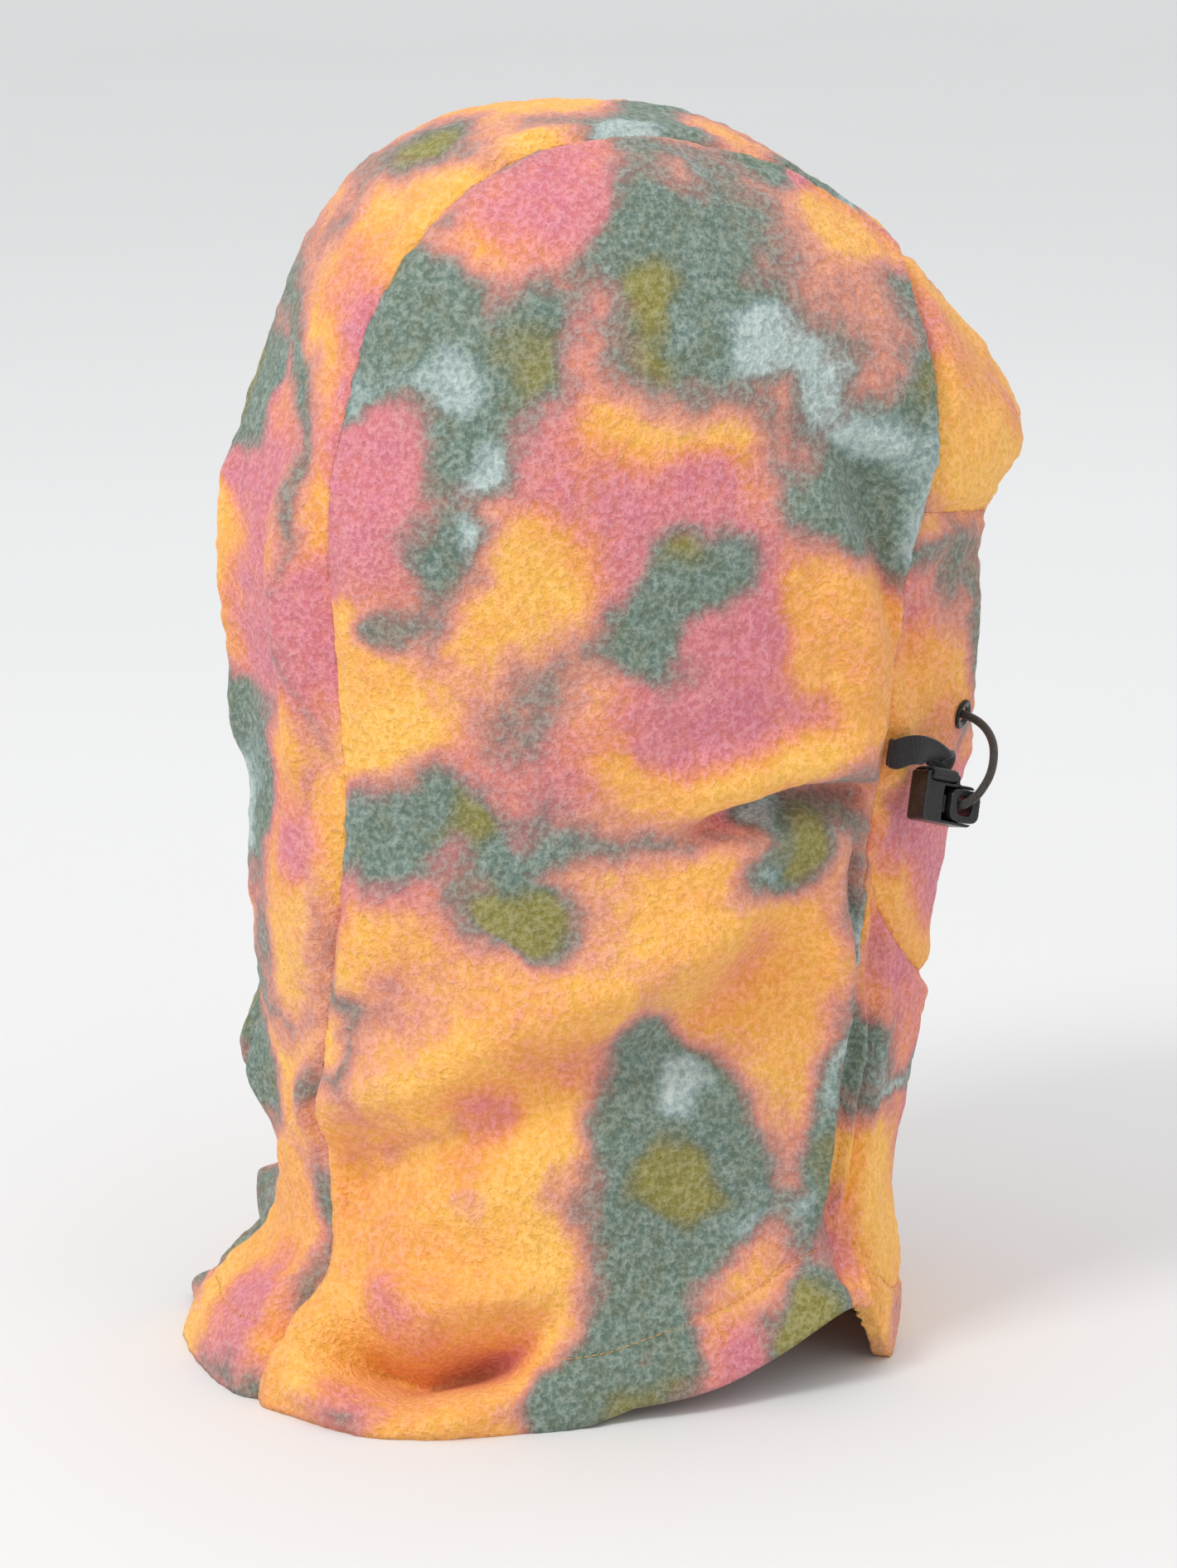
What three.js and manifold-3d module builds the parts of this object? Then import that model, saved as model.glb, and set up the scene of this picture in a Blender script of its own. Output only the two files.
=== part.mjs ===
// A fleece balaclava hood with a drawcord face opening, standing on its hem.
// Millimetres, +Z up. The face looks towards -Y and the wearer's right is at -X.
// The origin is on the ground under the middle of the hood.
import * as THREE from "three";
import { mergeVertices } from "three/addons/utils/BufferGeometryUtils.js";
import Module from "manifold-3d";

const wasm = await Module();
wasm.setup();

// ---- Driving dimensions -------------------------------------------------------------------------
const HOOD_HEIGHT = 392;
const HOOD_WIDTH = 196; // across the hem, its widest place
const HOOD_DEPTH = 272; // from the brow's front to the back of the flared hem
const FABRIC = 2.8; // brushed fleece, pile to pile
const SEAM_GAP = 0.4; // between two panels, where the seam thread runs
const FIT = 0.3; // between any two pieces that touch

const CROWN_HALF_WIDTH = 38; // the centre panel over the top of the head
const NAPE_HALF_WIDTH = 26; // the same panel at the back of the neck
const HEM_ARCH = 25; // how far the hem lifts beside the throat
const HEM_ARCH_ANGLE = 60;

const OPENING_HEIGHT = 103;
const OPENING_MIDDLE = 237.5;
const OPENING_HALF_ANGLE = 40; // half the opening's width, as an angle round the head
const RIM_ROUNDNESS = 2.5; // exponent of the rim's oval
const SKIN_PER_DEGREE = 1.65; // length along the face for one degree round the head

const CORD_DIAMETER = 2.7;
const CASING_WIDTH = 20; // facing sewn inside the rim, which makes the cord's tunnel
const CASING_EDGE = 1.5; // from the rim to the facing's edge
const CASING_FABRIC = 1.4;
const TUNNEL_HEIGHT = 4.6;

const EYELET_ANGLE = 44;
const EYELET_FLANGE_RADIUS = 4.8;
const EYELET_HOLE_RADIUS = 2.4;
const EYELET_WALL = 0.5;
const EYELET_CROWN = 1.3; // the flange's height over the fleece
const WASHER_THICKNESS = 0.5;

const RIBBON_WIDTH = 9;
const RIBBON_THICKNESS = 1; // grosgrain tape, folded double into a loop
const LOCK_LENGTH = 18.4; // cord lock housing, along its plunger
const LOCK_HEIGHT = 12.6;
const LOCK_DEPTH = 9;
const LOCK_WALL = 1.4;
const LOCK_CORNER = 1.6;
const BAR_HEIGHT = 1.4; // the bar over the housing that the ribbon loops round
const RING_LENGTH = 11; // the plunger's ring
const RING_HEIGHT = 10;
const RING_BAR = 2.5; // the ring's wall behind its eye
const RING_REACH = 2; // how far the ring stands out of the housing at rest
const EYE_LENGTH = 5.6; // the ring's eye, for the cord
const EYE_HEIGHT = 6;
const PLUNGER_TRAVEL = 2.2;
const STEM_LENGTH = 2.5;
const STEM_HEIGHT = 5.6;
const STEM_DEPTH = 3.8;
const SLIDE_CLEARANCE = 0.3;
const SPRING_WIRE = 0.5;
const SPRING_RADIUS = 1.5;
const SPRING_TURNS = 4;

// ---- Fleece skin --------------------------------------------------------------------------------
// Level sections of the hood from the hem to the top of the head: height of the section's front and
// back, reach of its front and back from the origin, half width, and how square its two halves are.
const SECTIONS = [
  [0, 0, -80, 136, 98, 4.0, 2.2],
  [12, 12, -84, 132, 96, 3.6, 2.2],
  [24, 24, -88, 124, 92, 3.0, 2.2],
  [36, 36, -91, 111, 88, 2.6, 2.2],
  [50, 50, -93, 107, 85, 2.4, 2.2],
  [70, 70, -98, 108, 83, 2.3, 2.2],
  [95, 95, -102, 110, 83, 2.3, 2.2],
  [120, 120, -106, 111, 83, 2.3, 2.2],
  [145, 145, -110, 112, 84, 2.3, 2.2],
  [170, 170, -115, 112, 86, 2.3, 2.2],
  [195, 195, -121, 112, 89, 2.3, 2.2],
  [218, 218, -126, 113, 92, 2.3, 2.2],
  [240, 240, -128, 114, 94, 2.3, 2.2],
  [258, 258, -126, 115, 95, 2.3, 2.2],
  [275, 275, -130, 115, 96, 2.2, 2.2],
  [288, 288, -136, 114, 96, 2.2, 2.2],
  [300, 300, -133, 111, 95, 2.2, 2.2],
  [313, 313, -123, 106, 94, 2.2, 2.2],
  [327, 327, -109, 101, 91, 2.2, 2.2],
  [340, 341, -96, 95, 86, 2.2, 2.2],
  [352, 354, -85, 87, 79, 2.2, 2.2],
  [364, 367, -71, 76, 69, 2.2, 2.2],
  [375, 377, -54, 64, 57, 2.2, 2.2],
  [383.5, 385, -37, 51, 43, 2.2, 2.2],
  [389, 390, -20, 38, 28, 2.2, 2.2],
  [391.5, 392, -3, 25, 14, 2.2, 2.2],
  [392, 392, 12, 12, 0, 2.2, 2.2],
];
const TOP = SECTIONS.length - 1;
const TALL = HOOD_HEIGHT / SECTIONS[TOP][0];
const WIDE = HOOD_WIDTH / (2 * SECTIONS[0][4]);
const DEEP = HOOD_DEPTH / (SECTIONS[0][3] - SECTIONS[15][2]);

function section(level) {
  const at = Math.min(Math.max(level, 0), TOP);
  const low = Math.min(Math.floor(at), TOP - 1);
  const t = at - low;
  const b = SECTIONS[low];
  const c = SECTIONS[low + 1];
  const a = SECTIONS[low - 1] ?? b.map((v, i) => 2 * v - c[i]);
  const d = SECTIONS[low + 2] ?? c.map((v, i) => 2 * v - b[i]);
  const [zFront, zBack, front, back, half, frontPower, backPower] = b.map(
    (v, i) =>
      v +
      0.5 * t * (c[i] - a[i] + t * (2 * a[i] - 5 * v + 4 * c[i] - d[i] + t * (3 * (v - c[i]) + d[i] - a[i]))),
  );
  return {
    zFront: zFront * TALL,
    zBack: zBack * TALL,
    front: front * DEEP,
    back: back * DEEP,
    half: Math.max(half * WIDE, 0),
    frontPower,
    backPower,
  };
}

const rad = THREE.MathUtils.degToRad;
const signedPower = (v, p) => Math.sign(v) * Math.abs(v) ** p;

// The hem stands on the ground except for an arch beside the throat on each side.
function hemLift(angle) {
  const off = Math.abs(angle) - rad(HEM_ARCH_ANGLE);
  const reach = off < 0 ? rad(26) : rad(42);
  return Math.abs(off) < reach ? HEM_ARCH * Math.cos((off / reach) * (Math.PI / 2)) ** 2 : 0;
}

// A point of the outside, by angle round from the front (positive to the wearer's right) and level.
function skin(angle, level) {
  const s = section(level);
  const power = 2 / (Math.cos(angle) > 0 ? s.frontPower : s.backPower);
  const forward = signedPower(Math.cos(angle), power);
  const z = (s.zFront + s.zBack) / 2 - ((s.zBack - s.zFront) / 2) * forward;
  const fade = Math.max(1 - z / 65, 0) ** 2;
  return new THREE.Vector3(
    -s.half * signedPower(Math.sin(angle), power),
    (s.front + s.back) / 2 - ((s.back - s.front) / 2) * forward,
    z + hemLift(angle) * fade,
  );
}

function skinNormal(angle, level) {
  if (level > TOP - 0.05) return new THREE.Vector3(0, 0, 1);
  const onwards = skin(angle + 0.01, level).sub(skin(angle - 0.01, level));
  const up = skin(angle, level + 0.05).sub(skin(angle, Math.max(level - 0.05, 0)));
  return up.cross(onwards).normalize();
}

function levelAt(angle, z) {
  let low = 0;
  let high = TOP;
  for (let i = 0; i < 40; i++) {
    const mid = (low + high) / 2;
    if (skin(angle, mid).z < z) low = mid;
    else high = mid;
  }
  return (low + high) / 2;
}

// A place on the skin is a pair of angle and level.
const onFace = (degrees, z) => [rad(degrees), levelAt(rad(degrees), z * TALL)];
const place = ([angle, level]) => skin(angle, level);
const between = (a, b, t) => [a[0] + (b[0] - a[0]) * t, a[1] + (b[1] - a[1]) * t];

// Smooth curve through places, given again as count places at equal lengths along the skin.
function evenly(places, count) {
  const curve = new THREE.CatmullRomCurve3(places.map(([a, l]) => new THREE.Vector3(a * 20, l, 0)));
  const fine = curve.getPoints(400).map((p) => [p.x / 20, p.y]);
  const lengths = [0];
  for (let i = 1; i < fine.length; i++)
    lengths.push(lengths[i - 1] + place(fine[i]).distanceTo(place(fine[i - 1])));
  const total = lengths.at(-1);
  const found = [];
  for (let i = 0; i < count; i++) {
    const want = (total * i) / (count - 1);
    let j = 1;
    while (j < fine.length - 1 && lengths[j] < want) j++;
    const t = (want - lengths[j - 1]) / Math.max(lengths[j] - lengths[j - 1], 1e-9);
    found.push(between(fine[j - 1], fine[j], Math.min(Math.max(t, 0), 1)));
  }
  return found;
}

// ---- Seams --------------------------------------------------------------------------------------
// The face seam runs from over the brow, down the temple and cheek, and under the chin.
const BROW_TOP = 349;
const CHIN_BOTTOM = 110;
const TEMPLE = [
  [26, 345],
  [45, 330],
  [58, 303],
  [60, 286],
];
const CHEEK_JOIN = [59.5, 272]; // where the brow band meets the chin panel
const CHEEK = [
  [63, 252],
  [65, 230],
  [64.5, 206],
];
const CHIN_JOIN = [62.5, 165]; // where the chin seam leaves for the throat
const CHIN = [
  [56, 145],
  [46, 130],
  [32, 118],
  [15, 111.5],
];
const THROAT = [
  [60.5, 148],
  [60, 121],
  [61.5, 93],
  [63, 64],
  [62, 40],
  [60, 0],
];
const faceLine = (points) => points.map(([degrees, z]) => onFace(degrees, z));
const mirrorPlaces = (places) => places.map(([angle, level]) => [-angle, level]);
const bothSides = (half) => [...mirrorPlaces(half.slice(1)).reverse(), ...half];

// The edge that the side panels share with the brow band, the chin panel and the throat panel,
// as a fine line from over the brow to the hem, and the seam under the chin.
const EDGE_STEPS = 600;
const frontEdge = evenly(
  faceLine([[-26, 345], [0, BROW_TOP], ...TEMPLE, CHEEK_JOIN, ...CHEEK, CHIN_JOIN, ...THROAT]),
  EDGE_STEPS,
);
const chinSeam = evenly(
  bothSides(faceLine([[0, CHIN_BOTTOM], ...[...CHIN].reverse(), CHIN_JOIN])),
  EDGE_STEPS,
);
const nearest = (line, [degrees, z]) => {
  const wanted = place(onFace(degrees, z));
  const gaps = line.map((at) => place(at).distanceTo(wanted));
  return gaps.indexOf(Math.min(...gaps));
};
const stretch = (line, from, to, count) =>
  Array.from({ length: count }, (_, i) => line[Math.round(from + ((to - from) * i) / (count - 1))]);
const besideCrown = (share) =>
  frontEdge.find((at) => at[0] > 0 && -place(at).x >= share * CROWN_HALF_WIDTH * WIDE);

const browCorner = frontEdge.indexOf(besideCrown(1));
const cheekCorner = nearest(frontEdge, CHEEK_JOIN);
const chinCorner = nearest(frontEdge, CHIN_JOIN);
const templeEdge = stretch(frontEdge, browCorner, cheekCorner, 9);
const cheekEdge = stretch(frontEdge, cheekCorner, chinCorner, 11);
const throatEdge = stretch(frontEdge, chinCorner, EDGE_STEPS - 1, 19);
const sideFront = [...templeEdge, ...cheekEdge.slice(1), ...throatEdge.slice(1)];
const LENGTH_STEPS = sideFront.length;

// The crown panel's half width, which narrows down the neck.
function crownHalf(level) {
  const z = section(level).zBack / TALL;
  const nape = THREE.MathUtils.smoothstep(z, 70, 190) * (CROWN_HALF_WIDTH + 3 - NAPE_HALF_WIDTH);
  const hem = (1 - THREE.MathUtils.smoothstep(z, 0, 60)) * 10;
  return Math.min((NAPE_HALF_WIDTH + nape + hem) * WIDE, (CROWN_HALF_WIDTH + (z < 300 ? 3 : 0)) * WIDE);
}

// Angle of the place at a share of the crown panel's half width, on the front or the back.
function crownAngle(share, level, behind) {
  if (!share) return behind ? Math.PI : 0;
  const s = section(level);
  const half = behind && level < 19 ? crownHalf(level) : CROWN_HALF_WIDTH * WIDE;
  const sine = Math.min((share * half) / s.half, 1) ** ((behind ? s.backPower : s.frontPower) / 2);
  return behind ? Math.PI - Math.asin(sine) : Math.asin(sine);
}

const CROWN_SHARES = [0, 0.36, 0.7, 1];
const browPlaces = CROWN_SHARES.map((share) => (share ? besideCrown(share) : onFace(0, BROW_TOP)));

// One line of the crown panel from the brow over the head to the hem.
function crownLine(share, first, count) {
  let turn = TOP;
  while (section(turn).half < share * CROWN_HALF_WIDTH * WIDE) turn -= 0.01;
  const places = [first];
  for (let i = 1; i <= 30; i++) {
    const level = first[1] + (turn - first[1]) * Math.sin((i / 30) * (Math.PI / 2));
    places.push([crownAngle(share, level, false), level]);
  }
  for (let i = 1; i <= 90; i++) {
    const level = turn * Math.cos((i / 90) * (Math.PI / 2)) ** 0.8;
    places.push([crownAngle(share, level, true), level]);
  }
  const points = places.map(place);
  const lengths = [0];
  for (let i = 1; i < points.length; i++) lengths.push(lengths[i - 1] + points[i].distanceTo(points[i - 1]));
  const found = [];
  for (let i = 0; i < count; i++) {
    const want = (lengths.at(-1) * i) / (count - 1);
    let j = 1;
    while (j < points.length - 1 && lengths[j] < want) j++;
    const t = Math.min((want - lengths[j - 1]) / Math.max(lengths[j] - lengths[j - 1], 1e-9), 1);
    const a = places[j - 1];
    const b = places[j];
    found.push(Math.abs(a[0] - b[0]) > 2 ? (t < 0.5 ? a : b) : between(a, b, t));
  }
  return found;
}

// ---- Shells -------------------------------------------------------------------------------------
const geometryOf = (vertices, triangles) => {
  const g = new THREE.BufferGeometry();
  g.setAttribute("position", new THREE.Float32BufferAttribute(vertices.flatMap((v) => [v.x, v.y, v.z]), 3));
  g.setIndex(triangles);
  return g;
};

// A cloth panel: rows of places on the skin, made FABRIC thick inwards, with its edges drawn in by
// half a seam. depth(row share) sets how far under the skin it lies. A ring closes on itself.
function panel(rows, { depth = () => 0, thickness = FABRIC, ring = false, seams = true } = {}) {
  const outer = [];
  const inner = [];
  const count = rows[0].length;
  const points = rows.map((row) => row.map(place));
  rows.forEach((row, r) =>
    row.forEach((at, c) => {
      const normal = skinNormal(at[0], at[1]);
      if (at[1] < 0.01) normal.setZ(0).normalize();
      const p = points[r][c].clone();
      if (seams) {
        const towards = (q) => {
          const run = q.clone().sub(points[r][c]);
          p.add(run.setLength(Math.min(SEAM_GAP / 2, 0.35 * run.length())));
        };
        if (r === 0 && at[1] > 0.01) towards(points[1][c]);
        if (r === rows.length - 1 && at[1] > 0.01) towards(points[r - 1][c]);
        if (c === 0 && at[1] > 0.01) towards(points[r][1]);
        if (c === count - 1 && at[1] > 0.01) towards(points[r][c - 1]);
      }
      const under = depth(r / (rows.length - 1));
      outer.push(p.clone().addScaledVector(normal, -under));
      inner.push(p.clone().addScaledVector(normal, -under - thickness));
    }),
  );
  const size = outer.length;
  const triangles = [];
  const quad = (a, b, c, d) => triangles.push(a, b, c, a, c, d);
  const wraps = ring ? count : count - 1;
  for (let r = 0; r < rows.length - 1; r++)
    for (let c = 0; c < wraps; c++) {
      const a = r * count + c;
      const b = r * count + ((c + 1) % count);
      const e = b + count;
      const f = a + count;
      quad(a, b, e, f);
      quad(size + a, size + f, size + e, size + b);
    }
  for (let c = 0; c < wraps; c++) {
    const next = (c + 1) % count;
    const last = (rows.length - 1) * count;
    quad(c, size + c, size + next, next);
    quad(last + c, last + next, size + last + next, size + last + c);
  }
  if (!ring)
    for (let r = 0; r < rows.length - 1; r++) {
      const a = r * count;
      const b = a + count - 1;
      quad(a, a + count, size + a + count, size + a);
      quad(b, size + b, size + b + count, b + count);
    }
  const geometry = geometryOf([...outer, ...inner], triangles);
  return signedVolume(geometry) < 0 ? turned(geometry) : geometry;
}

function signedVolume(geometry) {
  const p = geometry.getAttribute("position");
  const index = geometry.index.array;
  const corner = (i) => new THREE.Vector3().fromBufferAttribute(p, index[i]);
  let volume = 0;
  for (let i = 0; i < index.length; i += 3) volume += corner(i).dot(corner(i + 1).cross(corner(i + 2)));
  return volume;
}

function turned(geometry) {
  const index = Array.from(geometry.index.array);
  for (let i = 0; i < index.length; i += 3) [index[i + 1], index[i + 2]] = [index[i + 2], index[i + 1]];
  geometry.setIndex(index);
  return geometry;
}

// The wearer's left copy of a piece made for the right.
function mirrored(geometry) {
  return turned(merged(geometry).clone().scale(-1, 1, 1));
}

function merged(geometry) {
  const bare = geometry.clone();
  bare.deleteAttribute("normal");
  bare.deleteAttribute("uv");
  return mergeVertices(bare, 1e-3);
}

// ---- Joining and cutting ------------------------------------------------------------------------
function solid(geometry) {
  const bare = merged(geometry);
  return new wasm.Manifold(
    new wasm.Mesh({
      numProp: 3,
      vertProperties: new Float32Array(bare.getAttribute("position").array),
      triVerts: new Uint32Array(bare.index.array),
    }),
  );
}

function geometryFrom(made) {
  const mesh = made.getMesh();
  const g = new THREE.BufferGeometry();
  g.setAttribute("position", new THREE.BufferAttribute(new Float32Array(mesh.vertProperties), 3));
  g.setIndex(Array.from(mesh.triVerts));
  return g;
}

const cut = (geometry, ...tools) =>
  geometryFrom(tools.reduce((made, tool) => made.subtract(solid(tool)), solid(geometry)));

// ---- Assembly -----------------------------------------------------------------------------------
const hood = new THREE.Group();

function add(name, geometry, colour, roughness, metalness = 0) {
  const mesh = new THREE.Mesh(
    geometry,
    new THREE.MeshStandardMaterial({ color: colour, roughness, metalness }),
  );
  mesh.name = name;
  hood.add(mesh);
}

function addPair(name, geometry, colour, roughness, metalness = 0) {
  add(`${name}_right`, geometry, colour, roughness, metalness);
  add(`${name}_left`, mirrored(geometry), colour, roughness, metalness);
}

const FLEECE = [0xf2b661, 0.95];
const FLEECE_CORAL = [0xe8a08a, 0.95];
const FLEECE_GREEN = [0x8fa596, 0.95];
const BLACK_PLASTIC = [0x1c1c1e, 0.42];
const BLACK_TAPE = [0x202022, 0.85];
const BLACK_CORD = [0x2a2725, 0.8];
const BLACK_METAL = [0x151517, 0.25, 0.7];
const STEEL = [0x8f9295, 0.35, 0.9];

// Crown panel: one strip from the brow over the head, down the nape and into the flared hem.
const crownHalfLines = CROWN_SHARES.map((share, i) => crownLine(share, browPlaces[i], LENGTH_STEPS));
const crownLines = [...crownHalfLines.slice(1).map(mirrorPlaces).reverse(), ...crownHalfLines];
add("crown_panel", panel(crownLines), ...FLEECE_GREEN);

// Side panels: each fills from the crown seam to the cheek and the throat, and ends in the hem.
const sideBack = crownLines.at(-1);
const SIDE_COLUMNS = 13;
const TIP = 0.4; // share of the first step that the panel's pointed end is cut back by
const fromTip = (line) => [between(line[0], line[1], TIP), ...line.slice(1)];
const sideColumns = Array.from({ length: SIDE_COLUMNS }, (_, c) =>
  fromTip(sideFront).map((at, i) => between(at, fromTip(sideBack)[i], c / (SIDE_COLUMNS - 1))),
);
addPair("side_panel", panel(sideColumns), ...FLEECE);

// Brow band: from the rim of the face opening up to the face seam, over the forehead.
// Chin panel: the rest of the ring round the opening, down the cheeks and under the chin.
function rimPlace(turn, grown = 0) {
  const power = 2 / RIM_ROUNDNESS;
  const high = OPENING_HEIGHT / 2 + grown;
  const wide = OPENING_HALF_ANGLE + grown / SKIN_PER_DEGREE;
  const z = OPENING_MIDDLE + high * signedPower(Math.cos(rad(turn)), power);
  return onFace(wide * signedPower(Math.sin(rad(turn)), power), z);
}

const CHEEK_TURN = 60; // where the two panels meet on the rim, from its top
const ringRows = (rim, seam, count) =>
  Array.from({ length: count }, (_, r) => rim.map((at, i) => between(at, seam[i], r / (count - 1))));
const rimStretch = (from, to, count) =>
  Array.from({ length: count }, (_, i) => rimPlace(from + ((to - from) * i) / (count - 1)));

const browSeam = [...browPlaces, ...templeEdge.slice(1)];
const browRim = rimStretch(0, CHEEK_TURN, browSeam.length);
add("brow_band", panel(ringRows(bothSides(browRim), bothSides(browSeam), 7)), ...FLEECE_CORAL);

const CHIN_STEPS = 9;
const chinLine = stretch(chinSeam, (EDGE_STEPS - 1) / 2, EDGE_STEPS - 1, CHIN_STEPS);
chinLine[0] = onFace(0, CHIN_BOTTOM);
chinLine[CHIN_STEPS - 1] = cheekEdge.at(-1);
const lowerSeam = [...chinLine, ...[...cheekEdge].reverse().slice(1)];
const lowerRim = rimStretch(180, CHEEK_TURN, lowerSeam.length);
const eyeletPlace = onFace(EYELET_ANGLE, 205);
const eyeletNormal = skinNormal(...eyeletPlace);
const eyeletTurn = new THREE.Quaternion().setFromUnitVectors(new THREE.Vector3(0, 1, 0), eyeletNormal);

// A turned piece about the eyelet's own line. Heights are from the outside of the fleece outwards.
function atEyelet(profile, steps = 20) {
  const shape = new THREE.LatheGeometry(
    profile.map(([r, h]) => new THREE.Vector2(r, h)),
    steps,
  );
  return shape.applyQuaternion(eyeletTurn).translate(...place(eyeletPlace).toArray());
}

const barrelRadius = EYELET_HOLE_RADIUS + EYELET_WALL;
const holeRadius = barrelRadius + FIT;
const hole = atEyelet([[0, -FABRIC - 3], [holeRadius, -FABRIC - 3], [holeRadius, 3], [0, 3]]);
const holeLeft = mirrored(hole);
const chinRows = ringRows(bothSides(lowerRim), bothSides(lowerSeam), 8);
add("chin_panel", cut(panel(chinRows), hole, holeLeft), ...FLEECE_CORAL);

// Throat panel: under the chin seam, between the side panels, down to the front of the hem.
const [chinAngle, chinLevel] = throatEdge[0];
const throatRows = throatEdge.map(([sideAngle, sideLevel]) =>
  bothSides(chinLine).map(([angle, level]) => [
    (angle / chinAngle) * sideAngle,
    (level / chinLevel) * sideLevel,
  ]),
);
add("throat_panel", panel(throatRows), ...FLEECE_GREEN);

// Casing: a facing sewn inside the rim, arched so that the drawcord runs between it and the panels.
const CASING_STEPS = 40;
const turns = Array.from({ length: CASING_STEPS }, (_, i) => (360 * i) / CASING_STEPS);
const casingRows = [0, 0.2, 0.5, 0.8, 1].map((share) =>
  turns.map((turn) => rimPlace(turn, CASING_EDGE + share * (CASING_WIDTH - CASING_EDGE))),
);
function arch(share) {
  const rise = Math.min(Math.sin(Math.PI * share) * 1.25, 1);
  return FABRIC + 2 * FIT + (TUNNEL_HEIGHT - 2 * FIT) * rise;
}
add(
  "casing_facing",
  panel(casingRows, { depth: arch, thickness: CASING_FABRIC, ring: true, seams: false }),
  ...FLEECE,
);

// Eyelets: a flanged metal barrel through the chin panel, with a washer behind it in the tunnel.
const flange = EYELET_FLANGE_RADIUS;
const washerTop = -FABRIC - FIT;
addPair(
  "eyelet",
  atEyelet([
    [EYELET_HOLE_RADIUS, washerTop - WASHER_THICKNESS],
    [barrelRadius, washerTop - WASHER_THICKNESS],
    [barrelRadius, FIT],
    [flange, FIT],
    [flange, FIT + 0.4],
    [flange - 1, EYELET_CROWN],
    [EYELET_HOLE_RADIUS + 0.5, EYELET_CROWN],
    [EYELET_HOLE_RADIUS, EYELET_CROWN - 0.5],
    [EYELET_HOLE_RADIUS, washerTop - WASHER_THICKNESS],
  ]),
  ...BLACK_METAL,
);
addPair(
  "eyelet_washer",
  atEyelet([
    [holeRadius, washerTop],
    [holeRadius, washerTop - WASHER_THICKNESS],
    [flange, washerTop - WASHER_THICKNESS],
    [flange, washerTop],
    [holeRadius, washerTop],
  ]),
  ...STEEL,
);

// Drawcord: round elastic cord in the tunnel over the brow, out through the eyelet on each side.
const cordDepth = FABRIC + TUNNEL_HEIGHT / 2 + 0.2;
const cordRun = [];
const eyeletOut = (height) => place(eyeletPlace).addScaledVector(eyeletNormal, height);
const tunnelMiddle = CASING_EDGE + (CASING_WIDTH - CASING_EDGE) / 2;
const DRAWCORD_TURN = 118; // as far down the tunnel as the eyelet
for (let i = 0; i <= 22; i++) {
  const at = rimPlace((DRAWCORD_TURN * i) / 22, tunnelMiddle);
  cordRun.push(place(at).addScaledVector(skinNormal(...at), -cordDepth));
}
const flip = (v) => new THREE.Vector3(-v.x, v.y, v.z);
const cordEnd = [eyeletOut(-cordDepth + 1.2), eyeletOut(-FABRIC / 2), eyeletOut(EYELET_CROWN)];
const halfRun = [...cordRun.slice(1), ...cordEnd];
const drawcordPath = [...halfRun.map(flip).reverse(), cordRun[0], ...halfRun];

function tube(points, radius, sides, steps) {
  const shape = new THREE.Shape(
    Array.from({ length: sides }, (_, i) => {
      const a = (2 * Math.PI * (i + 0.5)) / sides;
      return new THREE.Vector2(radius * Math.cos(a), radius * Math.sin(a));
    }),
  );
  return new THREE.ExtrudeGeometry(shape, {
    steps,
    bevelEnabled: false,
    extrudePath: new THREE.CatmullRomCurve3(points, false, "centripetal"),
  });
}
add("drawcord", tube(drawcordPath, CORD_DIAMETER / 2, 8, 64), ...BLACK_CORD);

// Cord locks: each hangs on a ribbon from its root on the face seam. X of a lock's own frame is the
// way its plunger points, Y is up to the ribbon bar and Z is away from the cheek.
const rootPlace = onFace(64.3, 199);
const root = place(rootPlace);
const rootNormal = skinNormal(...rootPlace);
const fromRoot = (x, y, z) => root.clone().add(new THREE.Vector3(x, y, z));
const lockMiddle = fromRoot(-2.8, -18.3, -17.6);
const lockX = new THREE.Vector3(0.12, -0.955, -0.27).normalize();
const lockZ = new THREE.Vector3(-0.97, -0.1, 0.2).projectOnPlane(lockX).normalize();
const lockY = lockZ.clone().cross(lockX);
const lockFrame = new THREE.Matrix4().makeBasis(lockX, lockY, lockZ).setPosition(lockMiddle);
const onLock = (x, y, z) => new THREE.Vector3(x, y, z).applyMatrix4(lockFrame);

// A block between two corners with its long edges rounded, extruded along Z.
function block([x0, y0, z0], [x1, y1, z1], corner = 0) {
  const s = new THREE.Shape();
  const r = corner;
  s.moveTo(x0 + r, y0);
  s.lineTo(x1 - r, y0);
  if (r) s.absarc(x1 - r, y0 + r, r, -Math.PI / 2, 0);
  s.lineTo(x1, y1 - r);
  if (r) s.absarc(x1 - r, y1 - r, r, 0, Math.PI / 2);
  s.lineTo(x0 + r, y1);
  if (r) s.absarc(x0 + r, y1 - r, r, Math.PI / 2, Math.PI);
  s.lineTo(x0, y0 + r);
  if (r) s.absarc(x0 + r, y0 + r, r, Math.PI, Math.PI * 1.5);
  const geometry = new THREE.ExtrudeGeometry(s, { depth: z1 - z0, bevelEnabled: false, curveSegments: 4 });
  return geometry.translate(0, 0, z0);
}

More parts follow.
